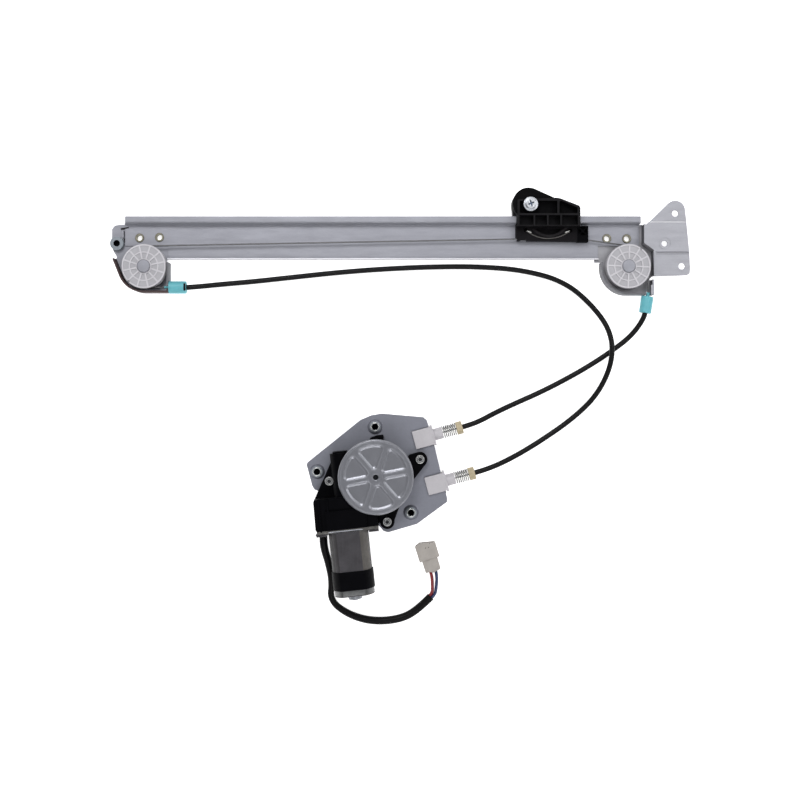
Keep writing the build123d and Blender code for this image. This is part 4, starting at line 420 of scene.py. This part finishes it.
# painted light and shade on the can by the way its faces turn: near-black for the steep sides, a dark shade for the
# left flank, a lighter tone for the right flank
CAN_SIDE_SHADE = surface("can_side_painted_shade", (0.020, 0.019, 0.020), 0.5, 0.3, mottle=0.2, scale=70, sheen_lines=0.2, line_axis="Y", grain_amount=0.08, bump=0.1, spec=0.2)
SHADED = surface("can_shaded", (0.036, 0.034, 0.037), 0.45, 0.4, mottle=0.2, scale=70, sheen_lines=0.2, line_axis="Y", grain_amount=0.08, bump=0.1, spec=0.3)
CAN_FLANK_LIGHT = surface("can_flank_painted_light", (0.10, 0.094, 0.088), 0.5, 0.4, mottle=0.2, scale=70, sheen_lines=0.2, line_axis="Y", grain_amount=0.08, bump=0.1, spec=0.2)
RIVET = surface("rivet_passivated", (0.20, 0.19, 0.145), 0.42, 0.7, mottle=0.2, scale=260, grain_amount=0.1, bump=0.12)
# painted shadow: a near-black for the bars laid in the slit at the rail's end
SLIT_SHADOW = surface("slit_painted_shadow", (0.012, 0.010, 0.010), 0.7, 0.0, mottle=0.3, scale=200, grain_amount=0.1, bump=0.1, spec=0.1)
# painted highlight: a bright steel for the tops of the springs' wire, the rims round screw heads and nut holes, and the
# bow spring's flat ends
STEEL_HIGHLIGHT = surface("steel_painted_highlight", (0.62, 0.62, 0.60), 0.25, 0.95, mottle=0.08, scale=300, grain_amount=0.04, bump=0.05)
slot_of = {s["node"]: s["material_slot"] for s in frame["record"]["subparts"]}
for name, node in NODES.items():
    node.data.materials.clear()
    node.data.materials.append(MATS[slot_of[name]])
for cord, slot in (
    ("conduit_a_sheath", "black_conduit"), ("conduit_b_sheath", "black_conduit"), ("lead_sleeve_tube", "black_sleeve"),
    ("wire_red_lead", "red_wire"), ("wire_blue_lead", "blue_wire"),
):
    CORDS[cord].data.materials.append(MATS[slot])


# ---------------------------------------------------------------- pieces with broken edges in place of the sharp solids
def corner_normals(me, limit=40.0):
    """Shade each corner by the faces round it that turn less than the limit, each by its area."""
    bound = math.cos(math.radians(limit))
    normals = [p.normal.copy() for p in me.polygons]
    areas = [p.area for p in me.polygons]
    around = [[] for _ in me.vertices]
    for p in me.polygons:
        for v in p.vertices:
            around[v].append(p.index)
    out = []
    for p in me.polygons:
        n = normals[p.index]
        for v in p.vertices:
            total = Vector()
            for q in around[v]:
                if normals[q].dot(n) > bound:
                    total += normals[q] * areas[q]
            out.append(total.normalized() if total.length > 0 else n)
    me.normals_split_custom_set(out)


def finished(node, width, paint=None, shades=(), main=None, angle=32.0, segments=2):
    """The node's own shape with its sharp edges broken by width millimetres; paint picks a face's shade."""
    src = NODES[node]
    me = src.data.copy()
    bm = bmesh.new()
    bm.from_mesh(me)
    bmesh.ops.remove_doubles(bm, verts=bm.verts, dist=2e-6)
    bmesh.ops.dissolve_limit(bm, angle_limit=math.radians(0.6), verts=bm.verts, edges=bm.edges, delimit={"NORMAL"})
    bmesh.ops.recalc_face_normals(bm, faces=bm.faces)
    sharp = [ed for ed in bm.edges if len(ed.link_faces) == 2 and ed.calc_face_angle(0) > math.radians(angle)]
    bmesh.ops.bevel(
        bm, geom=sharp, offset=width / 1000, offset_type="OFFSET", segments=segments, profile=0.6, affect="EDGES", clamp_overlap=True,
    )
    for f in bm.faces:
        f.smooth = True
        if paint:
            f.material_index = paint(f.calc_center_median() * 1000, f.normal)
    bm.to_mesh(me)
    bm.free()
    obj = bpy.data.objects.new(node + "_body", me)
    bpy.context.scene.collection.objects.link(obj)
    if main:
        me.materials[0] = main
    for shade in shades:
        me.materials.append(shade)
    corner_normals(me)
    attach(obj, src["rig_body"])
    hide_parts(node)
    return obj


# ---------------------------------------------------------------- rope stretches from the pulleys to the carrier
def rope_run(name, node, a, b, radius=0.75, fixed_first=True, strands=6):
    """A rope from a to b, drawn as strands laid straight."""
    a, b = Vector(a), Vector(b)
    d = (b - a).normalized()
    u = d.cross(Vector((0, 0, 1))).normalized()
    w = d.cross(u)
    bm = bmesh.new()
    rings = []
    for p in (a, b):
        ring = []
        for i in range(strands * 6):
            t = 2 * math.pi * i / (strands * 6)
            r = radius * (0.88 + 0.12 * abs(math.sin(strands * t / 2)))
            ring.append(bm.verts.new(metres(p + u * r * math.cos(t) + w * r * math.sin(t))))
        rings.append(ring)
    n = len(rings[0])
    for i in range(n):
        bm.faces.new((rings[0][i], rings[0][(i + 1) % n], rings[1][(i + 1) % n], rings[1][i]))
    bm.faces.new(list(reversed(rings[0])))
    bm.faces.new(rings[1])
    bmesh.ops.recalc_face_normals(bm, faces=bm.faces)
    me = bpy.data.meshes.new(name)
    bm.to_mesh(me)
    bm.free()
    obj = bpy.data.objects.new(name, me)
    bpy.context.scene.collection.objects.link(obj)
    me.materials.append(MATS["cable_steel"])
    s, t = a + d * 1.5, b - d * 1.5
    if fixed_first:
        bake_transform(obj)
    else:
        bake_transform(obj)
    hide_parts(node)
    return obj


def touch(c, r, p, sign):
    d = math.hypot(p[0] - c[0], p[1] - c[1])
    t = math.atan2(p[1] - c[1], p[0] - c[0]) + sign * math.acos(r / d)
    return (c[0] + r * math.cos(t), c[1] + r * math.sin(t))


anchor_l, anchor_r = loc(114.5, 151.6), loc(170.5, 150.6)
end_l, end_r = (anchor_l[0] - 1.0, anchor_l[1]), (anchor_r[0] + 3.56, anchor_r[1] + 0.3)
rope_run("rope_left", "cable_run_left", (*touch(PL, PULLEY_GROOVE, end_l, 1), CABLE_Z), (*end_l, CABLE_Z))
rope_run("rope_right", "cable_run_right", (*end_r, CABLE_Z), (*touch(PR, PULLEY_GROOVE, end_r, -1), CABLE_Z), fixed_first=False)

NUT_LEFT = at(116.6, 243.3, 8)
PLATE_NUTS = [at(u, v, 20) for u, v in ((317.0, 471.8), (375.0, 426.9), (411.0, 512.8))]
EARS = [at(u, v, 24) for u, v in ((329.3, 481.1), (420.1, 459.4), (387.2, 521.7))]
SCREW = at(531.1, 203.5, 25)
BOW = (at(526.6, 230.8, 13), at(569.6, 231.2, 13))


def near(c, centres, r):
    return any(math.hypot(c.x - q[0], c.y - q[1]) < r for q in centres)


def on_motor(c):
    """Station along the motor's axis and distance across it, in the plan."""
    d = c - M0
    return d.dot(A), d.dot(AWAY)


# painted highlight on the top of the rail's lower flange edge; painted shade on the upright faces, lighter on the lip
# wall
def rail_shade(c, n):
    if n.z > 0.7 and c.y < RAIL_EDGE + 1.0 and c.z > 6.5:
        return 2
    if abs(n.z) < 0.4 and c.z > 3.4:
        return 3 if c.y > 150 else 1
    return 0


# painted shade on the right bracket's wall faces and wall tops; painted light on the floor inside the guard and on the
# guard's faces towards the pulley
def right_shade(c, n):
    inside = near(c, [PR], 27.5) and c.x < PR[0] + 22
    if abs(n.z) > 0.4:
        return (2 if c.z < 3.5 else 1) if inside else 0
    if c.z < 3.4:
        return 0
    return 2 if inside and (c - Vector((*PR, c.z))).dot(n) < 0 else 1


# painted shade on the left bracket's walls, a brownish painted shadow on the guard wall's faces and the top of its left
# part, and painted light on the floor inside the guard and the tops of its lower part
def left_shade(c, n):
    inside = c.y < PL[1] + 12 and c.x < PL[0] + 24.5
    if abs(n.z) > 0.4:
        if not inside:
            return 0
        if c.z < 3.5:
            return 3
        return 1 if c.x > PL[0] + 21 else 3 if c.x > PL[0] - 2 else 2
    if c.z < 3.2:
        return 0
    return 2 if inside and c.x < PL[0] + 21 else 1


# painted shadow: the bore walls and closed bottoms of the rivet nuts take the near-black shade
def nut(c, n):
    if abs(n.z) < 0.5:
        return 1 if near(c, [NUT_LEFT, *PLATE_NUTS], 3.17) else 0
    if near(c, [NUT_LEFT], 3.17):
        return 1 if c.z < 6.5 else 0
    return 1 if near(c, PLATE_NUTS, 3.17) and 8.9 < c.z < 19 else 0


# painted shade: faces sunk into the clamp screw's head take the recess shade
def screw_head(c, n):
    return 1 if c.z > 23.9 and c.z < 26.2 and near(c, [SCREW], 3.2) else 0


# painted shade: the socket faces of the housing screws' heads
def ear_screw(c, n):
    return 1 if c.z < 26.35 and near(c, EARS, 2.0) else 0


# painted light and shade on the can by face direction: steep sides darkest, left flank shaded, right flank lighter; the
# ends take the bare metal
def can(c, n):
    s, y = on_motor(c)
    if s > 53.5:
        return 2
    if s < 3.2 and abs(n.z) < 0.95:
        return 1
    if n.x < -0.8 or n.x > 0.95:
        return 3
    if n.x < -0.3:
        return 5
    return 4 if n.x > 0.3 else 0


# painted highlight: the pulleys' uppermost faces take the lighter acetal
def pulley(c, n):
    return 1 if n.z > 0.4 and c.z > PULLEY_TOP - 0.35 else 0


# painted shade in the carrier's pockets, two tones by row; the lobe's lower top faces take the lobe black
def carrier(c, n):
    if c.z < CARRIER_TOP - 1.6:
        if n.z > -0.5 and at(540, 227.5, c.z)[1] < c.y < at(540, 198.6, c.z)[1]:
            return 3 if c.y < at(540, 213.7, c.z)[1] else 1
        if n.z > 0.4 and c.y >= at(540, 198.6, c.z)[1]:
            return 2
    return 0


# painted highlight on the upward faces of the spring wire, painted shade on the rest
def wire(c, n):
    return 0 if n.z > 0.72 else 1


# painted shadow: the output shaft's top end, seen down the cover's hole, is painted near-black
def shaft_top(c, n):
    return 1 if c.z > 36.6 else 0


def highest(name):
    node = bpy.data.objects[name]
    return max((node.matrix_world @ v.co).z for v in node.data.vertices) * 1000


def repaint(name, paint, *shades):
    """Shades for single faces of a smooth node."""
    node = bpy.data.objects[name]
    me = node.data
    me.materials.clear()
    for shade in shades:
        me.materials.append(shade)
    turn = node.matrix_world.to_3x3()
    for f in me.polygons:
        f.material_index = paint((node.matrix_world @ f.center) * 1000, (turn @ f.normal).normalized())


RAIL_EDGE = 133.1 - OY
CARRIER_TOP = highest("glass_carrier")
PULLEY_TOP = highest("pulley_left")
SHOE_TOP = 12.9
HOOD_TOP = highest("connector_housing")
# painted light and shade on the springs: faces turned up take the highlight steel, the rest the dark shade steel
for node in ("spring_upper", "spring_lower"):
    repaint(node, wire, STEEL_HIGHLIGHT, STEEL_SHADE)
repaint("bow_spring", lambda c, n: 0, BOWED)
for node, width, paint, shades, main in (
    ("rail", 0.2, rail_shade, (WALL_SHADE, FLANGE_TOP_HIGHLIGHT, LIP_WALL_SHADE), None), ("bracket_left", 0.15, left_shade, (WALL_SHADE, GUARD_SHADOW, INNER_LIGHT), None),
    ("bracket_right", 0.15, right_shade, (WALL_SHADE, INNER_LIGHT), FACE), ("motor_plate", 0.25, None, (), None),
    ("glass_carrier", 0.3, carrier, (POCKET_SHADE, LOBE, LOW_POCKET_SHADE), CARR), ("carrier_back", 0.5, None, (), LOBE), ("slide_shoe", 0.3, None, (), SHOE),
    ("cable_retainer", 0.3, None, (), CASE), ("pulley_left", 0.15, pulley, (RIB_HIGHLIGHT,), None), ("pulley_right", 0.15, pulley, (RIB_HIGHLIGHT,), None),
    ("gearbox_housing", 0.6, None, (), CASE), ("drum_housing", 0.5, None, (), None), ("guide_upper", 0.5, None, (), None),
    ("guide_lower", 0.5, None, (), None), ("can_band", 0.4, None, (), CASE), ("connector_housing", 0.5, None, (), None),
    ("housing_screws", 0.25, ear_screw, (SMALL_HOLE_SHADE,), HEAD), ("clamp_screw", 0.3, screw_head, (CROSS_SLOT_SHADE,), None),
    ("rivet_nuts", 0.3, nut, (HOLE_SHADOW,), NUT), ("hollow_rivets", 0.2, None, (), RIVET), ("guide_caps", 0.5, None, (), None),
    ("pulley_axles", 0.3, None, (), None), ("ferrule_left", 0.25, None, (), None), ("ferrule_right", 0.25, None, (), None),
    ("motor_can", 0.5, can, (BARE, BARE, CAN_SIDE_SHADE, CAN_FLANK_LIGHT, SHADED), None), ("output_shaft", 0.2, shaft_top, (HOLE_SHADOW,), None),
):
    finished(node, width, paint, shades, main)


def strip(name, points, width, thick, material, body):
    """A low rounded rib along a line of points."""
    points = [Vector(p) for p in points]
    n, rings = 8, []
    bm = bmesh.new()
    for i, c in enumerate(points):
        d = (points[min(i + 1, len(points) - 1)] - points[max(i - 1, 0)]).normalized()
        w = d.cross(Vector((0, 0, 1))).normalized() * (width / 2) * (0.6 if i in (0, len(points) - 1) else 1.0)
        ring = [bm.verts.new(metres(c + w * math.cos(math.pi * j / n) + Vector((0, 0, thick * (0.5 + 0.5 * math.sin(math.pi * j / n)))))) for j in range(n + 1)]
        ring += [bm.verts.new(metres(c - w)), bm.verts.new(metres(c + w))]
        rings.append(ring)
    for a, b in zip(rings, rings[1:]):
        for j in range(len(a)):
            bm.faces.new((a[j], a[(j + 1) % len(a)], b[(j + 1) % len(a)], b[j]))
    bm.faces.new(rings[0])
    bm.faces.new(list(reversed(rings[-1])))
    bmesh.ops.recalc_face_normals(bm, faces=bm.faces)
    for f in bm.faces:
        f.smooth = True
    me = bpy.data.meshes.new(name)
    bm.to_mesh(me)
    bm.free()
    me.materials.append(material)
    me.set_sharp_from_angle(angle=math.radians(50))
    obj = bpy.data.objects.new(name, me)
    bpy.context.scene.collection.objects.link(obj)
    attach(obj, body)
    return obj


def bar(name, p, q, width, thick, material, body, bulge=0.3):
    """A small rounded bar from p to q, its top bulging a little."""
    p, q = Vector(p), Vector(q)
    d = (q - p).normalized()
    w = d.cross(Vector((0, 0, 1))).normalized()
    n, rings = 10, []
    bm = bmesh.new()
    for i, along in enumerate((0.0, 0.06, 0.5, 0.94, 1.0)):
        small = 0.6 if i in (0, 4) else 1.0
        c = p.lerp(q, along)
        ring = []
        for j in range(n + 1):
            t = math.pi * j / n
            ring.append(bm.verts.new(metres(c + w * (width / 2 * small * math.cos(t)) + Vector((0, 0, thick * (1 - bulge + bulge * math.sin(t)) * small)))))
        ring += [bm.verts.new(metres(c - w * width / 2 * small)), bm.verts.new(metres(c + w * width / 2 * small))]
        rings.append(ring)
    for a, b in zip(rings, rings[1:]):
        for j in range(len(a)):
            bm.faces.new((a[j], a[(j + 1) % len(a)], b[(j + 1) % len(a)], b[j]))
    bm.faces.new(rings[0])
    bm.faces.new(list(reversed(rings[-1])))
    bmesh.ops.recalc_face_normals(bm, faces=bm.faces)
    for f in bm.faces:
        f.smooth = True
    me = bpy.data.meshes.new(name)
    bm.to_mesh(me)
    bm.free()
    me.materials.append(material)
    me.set_sharp_from_angle(angle=math.radians(45))
    obj = bpy.data.objects.new(name, me)
    bpy.context.scene.collection.objects.link(obj)
    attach(obj, body)
    return obj


def bead(name, centre, r0, r1, z, height, material, body):
    """A low round bead between two radii round a vertical axis."""
    n, m = 6, 48
    bm = bmesh.new()
    rings = []
    for i in range(m):
        a = 2 * math.pi * i / m
        ring = []
        for j in range(n + 1):
            t = j / n
            r = r0 + (r1 - r0) * t
            ring.append(bm.verts.new(metres((centre[0] + r * math.cos(a), centre[1] + r * math.sin(a), z + height * math.sin(math.pi * t) ** 0.6))))
        rings.append(ring)
    for i in range(m):
        a, b = rings[i], rings[(i + 1) % m]
        for j in range(n):
            bm.faces.new((a[j], b[j], b[j + 1], a[j + 1]))
        bm.faces.new((a[n], b[n], b[0], a[0]))
    bmesh.ops.recalc_face_normals(bm, faces=bm.faces)
    for f in bm.faces:
        f.smooth = True
    me = bpy.data.meshes.new(name)
    bm.to_mesh(me)
    bm.free()
    me.materials.append(material)
    me.set_sharp_from_angle(angle=math.radians(70))
    obj = bpy.data.objects.new(name, me)
    bpy.context.scene.collection.objects.link(obj)
    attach(obj, body)
    return obj


# painted shade and highlight on the screw heads and nut holes: a dark ring in each housing screw's groove, and bright
# rims of painted highlight round the screw heads and round the plate nuts' holes
SCREW_TOP, NUT_TOP = highest("housing_screws"), 20.7
for i, ear in enumerate(EARS, 1):
    bead("screw_groove_%d" % i, ear, 2.35, 3.05, SCREW_TOP - 0.06, 0.1, STEEL_SHADE, "frame")
    bead("screw_rim_%d" % i, ear, 3.15, 3.75, SCREW_TOP - 0.4, 0.45, STEEL_HIGHLIGHT, "frame")
for i, nut_at in enumerate(PLATE_NUTS, 1):
    bead("nut_rim_%d" % i, nut_at, 3.25, 4.15, NUT_TOP - 0.15, 0.4, STEEL_HIGHLIGHT, "frame")

# flat ends of the bow spring, as small bars of painted highlight
for name, p, q in (
    ("bow_tip_left", (527.4, 230.7), (531.6, 232.4)), ("bow_tip_right", (565.0, 232.6), (569.2, 230.9)),
):
    bar(name, (*at(*p, 13.2), 12.9), (*at(*q, 13.2), 12.9), 1.25, 0.75, STEEL_HIGHLIGHT, "carrier")
# curved tongue behind the bow spring
TONGUE = ((532.6, 228.8), (536.2, 231.6), (540.4, 234.0), (545.0, 235.6), (549.8, 236.1), (554.6, 235.4), (559.0, 233.4), (563.4, 230.2), (567.4, 226.6))
strip("spring_tongue", [(*at(u, v, 13.2), SHOE_TOP - 0.1) for u, v in TONGUE], 2.6, 0.55, RIBBED, "carrier")
# rolled lines of the end flange: a bar of painted highlight along the upper bend and thin bars of painted shade along
# the lower bend
bar("flange_bend_upper", (*at(649.6, 221.9, 15.5), 15.4), (*at(686.6, 221.9, 15.5), 15.4), 1.5, 0.22, BEND_HIGHLIGHT, "frame", 0.9)
bar("flange_bend_lower", (*at(654.0, 251.6, 15.5), 15.4), (*at(689.2, 251.6, 15.5), 15.4), 0.9, 0.14, BEND_SHADE, "frame", 0.9)
bar("flange_bend_lower_foot", (*at(654.6, 254.0, 14.3), 14.2), (*at(689.4, 254.0, 14.3), 14.2), 0.8, 0.14, BEND_SHADE, "frame", 0.9)
# painted shadow: dark bars laid where the slit between the rail's end and the bracket lies in shade
bar("end_slit", (*at(120.6, 229.0, 4.3), 3.9), (*at(128.9, 227.5, 4.3), 3.9), 1.3, 0.45, SLIT_SHADOW, "frame", 0.1)
bar("end_slit_foot", (*at(124.3, 238.6, 3.4), 3.1), (*at(126.2, 246.0, 3.4), 3.1), 1.0, 0.4, SLIT_SHADOW, "frame", 0.1)
def shell(name, outline, stations, material, body):
    """A closed skin through outlines (y, x) placed at stations along the motor's axis."""
    bm = bmesh.new()
    rings = []
    for station, scale in stations:
        rings.append([bm.verts.new(metres(motor(station, y * scale, x * scale))) for y, x in outline])
    for a, b in zip(rings, rings[1:]):
        for j in range(len(a)):
            bm.faces.new((a[j], a[(j + 1) % len(a)], b[(j + 1) % len(a)], b[j]))
    bm.faces.new(rings[0])
    bm.faces.new(list(reversed(rings[-1])))
    bmesh.ops.recalc_face_normals(bm, faces=bm.faces)
    for f in bm.faces:
        f.smooth = True
    me = bpy.data.meshes.new(name)
    bm.to_mesh(me)
    bm.free()
    me.materials.append(material)
    me.set_sharp_from_angle(angle=math.radians(24))
    obj = bpy.data.objects.new(name, me)
    bpy.context.scene.collection.objects.link(obj)
    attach(obj, body)
    return obj


# plate between motor and gearbox
shell(
    "motor_flange", [(28.25, 0.0), (28.25, 10.75), (18.55, 10.75), (18.55, 13.15), (-18.95, 13.15), (-18.95, 10.75), (-28.25, 10.75), (-28.25, 0.0)],
    [(-2.5, 1.0), (-0.2, 1.0), (0.05, 0.99)], PLATED, "frame",
)
# bare end of the can beyond its band
ROUND = []
for i in range(96):
    a = 2 * math.pi * i / 96
    ROUND.append((18.5 * math.cos(a), max(-15.1, min(15.1, 18.5 * math.sin(a)))))
shell("can_bare_end", ROUND, [(53.4, 0.99), (53.5, 1.0), (57.8, 1.0), (58.8, 0.985), (59.25, 0.95)], ENDS, "frame")


def mouth(name, x0, x1, y, z, radius, half, material, body):
    """A thin curved skin on a lying cylinder, round its top."""
    bm = bmesh.new()
    rings = []
    for x in (x0, x1):
        ring = []
        for r in (radius, radius - 0.3):
            turns = range(-8, 9) if r == radius else range(8, -9, -1)
            ring += [bm.verts.new(metres((x, y + r * math.sin(half * i / 8), z + r * math.cos(half * i / 8)))) for i in turns]
        rings.append(ring)
    a, b = rings
    for j in range(len(a)):
        bm.faces.new((a[j], a[(j + 1) % len(a)], b[(j + 1) % len(a)], b[j]))
    bm.faces.new(a)
    bm.faces.new(list(reversed(b)))
    bmesh.ops.recalc_face_normals(bm, faces=bm.faces)
    me = bpy.data.meshes.new(name)
    bm.to_mesh(me)
    bm.free()
    me.materials.append(material)
    obj = bpy.data.objects.new(name, me)
    bpy.context.scene.collection.objects.link(obj)
    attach(obj, body)
    return obj


def prism(name, outline, z0, z1, material, body):
    """An upright prism over a plan outline, its top edge eased."""
    c = sum((Vector(q) for q in outline), Vector((0, 0))) / len(outline)
    bm = bmesh.new()
    rings = []
    for z, scale in ((z0, 1.0), (z1 - 0.4, 1.0), (z1, 0.95)):
        rings.append([bm.verts.new(metres((*(c + (Vector(q) - c) * scale), z))) for q in outline])
    for a, b in zip(rings, rings[1:]):
        for j in range(len(a)):
            bm.faces.new((a[j], a[(j + 1) % len(a)], b[(j + 1) % len(a)], b[j]))
    bm.faces.new(rings[0])
    bm.faces.new(list(reversed(rings[-1])))
    bmesh.ops.recalc_face_normals(bm, faces=bm.faces)
    me = bpy.data.meshes.new(name)
    bm.to_mesh(me)
    bm.free()
    me.materials.append(material)
    obj = bpy.data.objects.new(name, me)
    bpy.context.scene.collection.objects.link(obj)
    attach(obj, body)
    return obj


# pointed foot of the plug, and the latch marks on its hood: small dots of painted shade for small holes
FOOT = [at(u, v, 7) for u, v in ((424.6, 568.6), (424.9, 570.4), (433.2, 572.6), (440.0, 568.9), (439.0, 566.0))]
prism("plug_foot", FOOT, 2.2, 8.9, MATS["offwhite_nylon"], "frame")
for i, (u, v) in enumerate(((425.4, 547.9), (428.5, 547.3), (429.4, 543.6)), 1):
    bead("plug_mark_%d" % i, at(u, v, 10), 0.05, 0.5, HOOD_TOP - 0.03, 0.06, SMALL_HOLE_SHADE, "frame")

# mouth of the left ferrule: a thin dark skin of painted shadow inside it
X_END = seat_l[0] + FERRULE_L
mouth("ferrule_mouth", X_END - 1.9, X_END + 0.05, seat_l[1], CABLE_Z, 6.02, 0.6, HOLE_SHADOW, "frame")
# bright edge of the can at the gearbox
bar("can_seam", motor(-1.1, 18.0, 13.1), motor(-1.1, -14.0, 13.1), 1.0, 0.3, BARE, "frame", 0.6)

# ---------------------------------------------------------------- pressed cover
def cover_height(r, t):
    """Millimetres over the cover's flat top, at radius r and angle t in degrees."""
    d = (t - 11.0) % 60.0
    s = r * math.sin(math.radians(min(d, 60.0 - d)))
    outer, inner, flank = r - 28.6, 8.6 - r, 2.9 - s

    def round_max(a, b, q):
        if a > -q and b > -q:
            return math.hypot(a + q, b + q) - q
        return max(a, b)

    e = round_max(outer, flank, 3.2) if r > 14 else round_max(inner, flank, 1.3)
    k = min(1.0, max(0.0, (0.9 - e) / 2.1))
    h = -0.64 * (0.7 * k + 0.3 * k * k * (3 - 2 * k)) + 0.16 * math.exp(-(((e - 0.95) / 0.6) ** 2))
    h -= 0.10 * math.exp(-(((r - 6.7) / 0.5) ** 2))
    h += 0.18 * math.exp(-(((r - 33.1) / 0.7) ** 2))
    if r > 33.6:
        h -= 0.9 * (r - 33.6) ** 2
    if r < 3.2:
        h -= 0.7 * (3.2 - r) ** 2
    return h


bm = bmesh.new()
steps, turns = 76, 360
radii = [2.3 + (34.6 - 2.3) * i / (steps - 1) for i in range(steps)]
rings = [[(34.6, 44.0)] * turns, *[[(r, 45.4 + cover_height(r, t * 360 / turns)) for t in range(turns)] for r in reversed(radii)], [(2.3, 44.0)] * turns]
made = [
    [bm.verts.new(metres((C[0] + r * math.cos(2 * math.pi * t / turns), C[1] + r * math.sin(2 * math.pi * t / turns), z))) for t, (r, z) in enumerate(ring)]
    for ring in rings
]
for a, b in zip(made, made[1:] + made[:1]):
    for t in range(turns):
        bm.faces.new((a[t], b[t], b[(t + 1) % turns], a[(t + 1) % turns]))
bmesh.ops.recalc_face_normals(bm, faces=bm.faces)
for f in bm.faces:
    f.smooth = True
cover = bpy.data.meshes.new("disc_cover_pressed")
bm.to_mesh(cover)
bm.free()
cover.materials.append(MATS["cover_steel"])
cover.set_sharp_from_angle(angle=math.radians(50))
cover_obj = bpy.data.objects.new("disc_cover_pressed", cover)
bpy.context.scene.collection.objects.link(cover_obj)
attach(cover_obj, "frame")
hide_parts("disc_cover")

for name, node in NODES.items():
    if not node.hide_render:
        node.data.set_sharp_from_angle(angle=math.radians(35))
        for poly in node.data.polygons:
            poly.use_smooth = True

# ---------------------------------------------------------------- stage
bm = bmesh.new()
span = 4.0
vs = [bm.verts.new((x, y, -0.0003)) for x, y in ((-span, -span), (span, -span), (span, span), (-span, span))]
bm.faces.new(vs)
fme = bpy.data.meshes.new("floor")
bm.to_mesh(fme)
bm.free()
floor = bpy.data.objects.new("floor", fme)
bpy.context.scene.collection.objects.link(floor)
floor_mat = surface("floor_paper", (0.93, 0.93, 0.93), 0.9, 0.0, mottle=0.0, scale=4, grain_amount=0.0, bump=0.0, spec=0.0, glow=0.75)
fme.materials.append(floor_mat)

world = bpy.data.worlds.new("studio")
bpy.context.scene.world = world
world.use_nodes = True
wn = world.node_tree
wn.nodes.clear()
wo = wn.nodes.new("ShaderNodeOutputWorld")
bg = wn.nodes.new("ShaderNodeBackground")
tc = wn.nodes.new("ShaderNodeTexCoord")
sep = wn.nodes.new("ShaderNodeSeparateXYZ")
ramp = wn.nodes.new("ShaderNodeValToRGB")
wn.links.new(tc.outputs["Generated"], sep.inputs[0])
wn.links.new(sep.outputs["Z"], ramp.inputs[0])
ramp.color_ramp.elements[0].position = 0.0
ramp.color_ramp.elements[0].color = (1.0, 1.0, 1.0, 1)
ramp.color_ramp.elements[1].position = 1.0
ramp.color_ramp.elements[1].color = (0.6, 0.6, 0.62, 1)
k = ramp.color_ramp.elements.new(0.8)
k.color = (0.95, 0.95, 0.96, 1)
wn.links.new(ramp.outputs[0], bg.inputs["Color"])
bg.inputs["Strength"].default_value = 0.5
wn.links.new(bg.outputs[0], wo.inputs[0])


def softbox(name, pos, target, size, power):
    data = bpy.data.lights.new(name, "AREA")
    data.shape = "RECTANGLE"
    data.size, data.size_y = size
    data.energy = power
    obj = bpy.data.objects.new(name, data)
    bpy.context.scene.collection.objects.link(obj)
    obj.location = pos
    d = Vector(target) - Vector(pos)
    obj.rotation_euler = d.to_track_quat("-Z", "Y").to_euler()
    return obj


softbox("key", (-0.3, 0.92, 1.6), (0, 0, 0), (0.7, 0.7), 14.0)
softbox("fill", (0.85, 0.3, 1.5), (0, 0, 0), (0.7, 0.7), 5.5)
softbox("front", (0.1, -1.0, 1.4), (0, 0, 0), (1.1, 0.6), 8.0)

bpy.context.scene.view_settings.view_transform = "Standard"
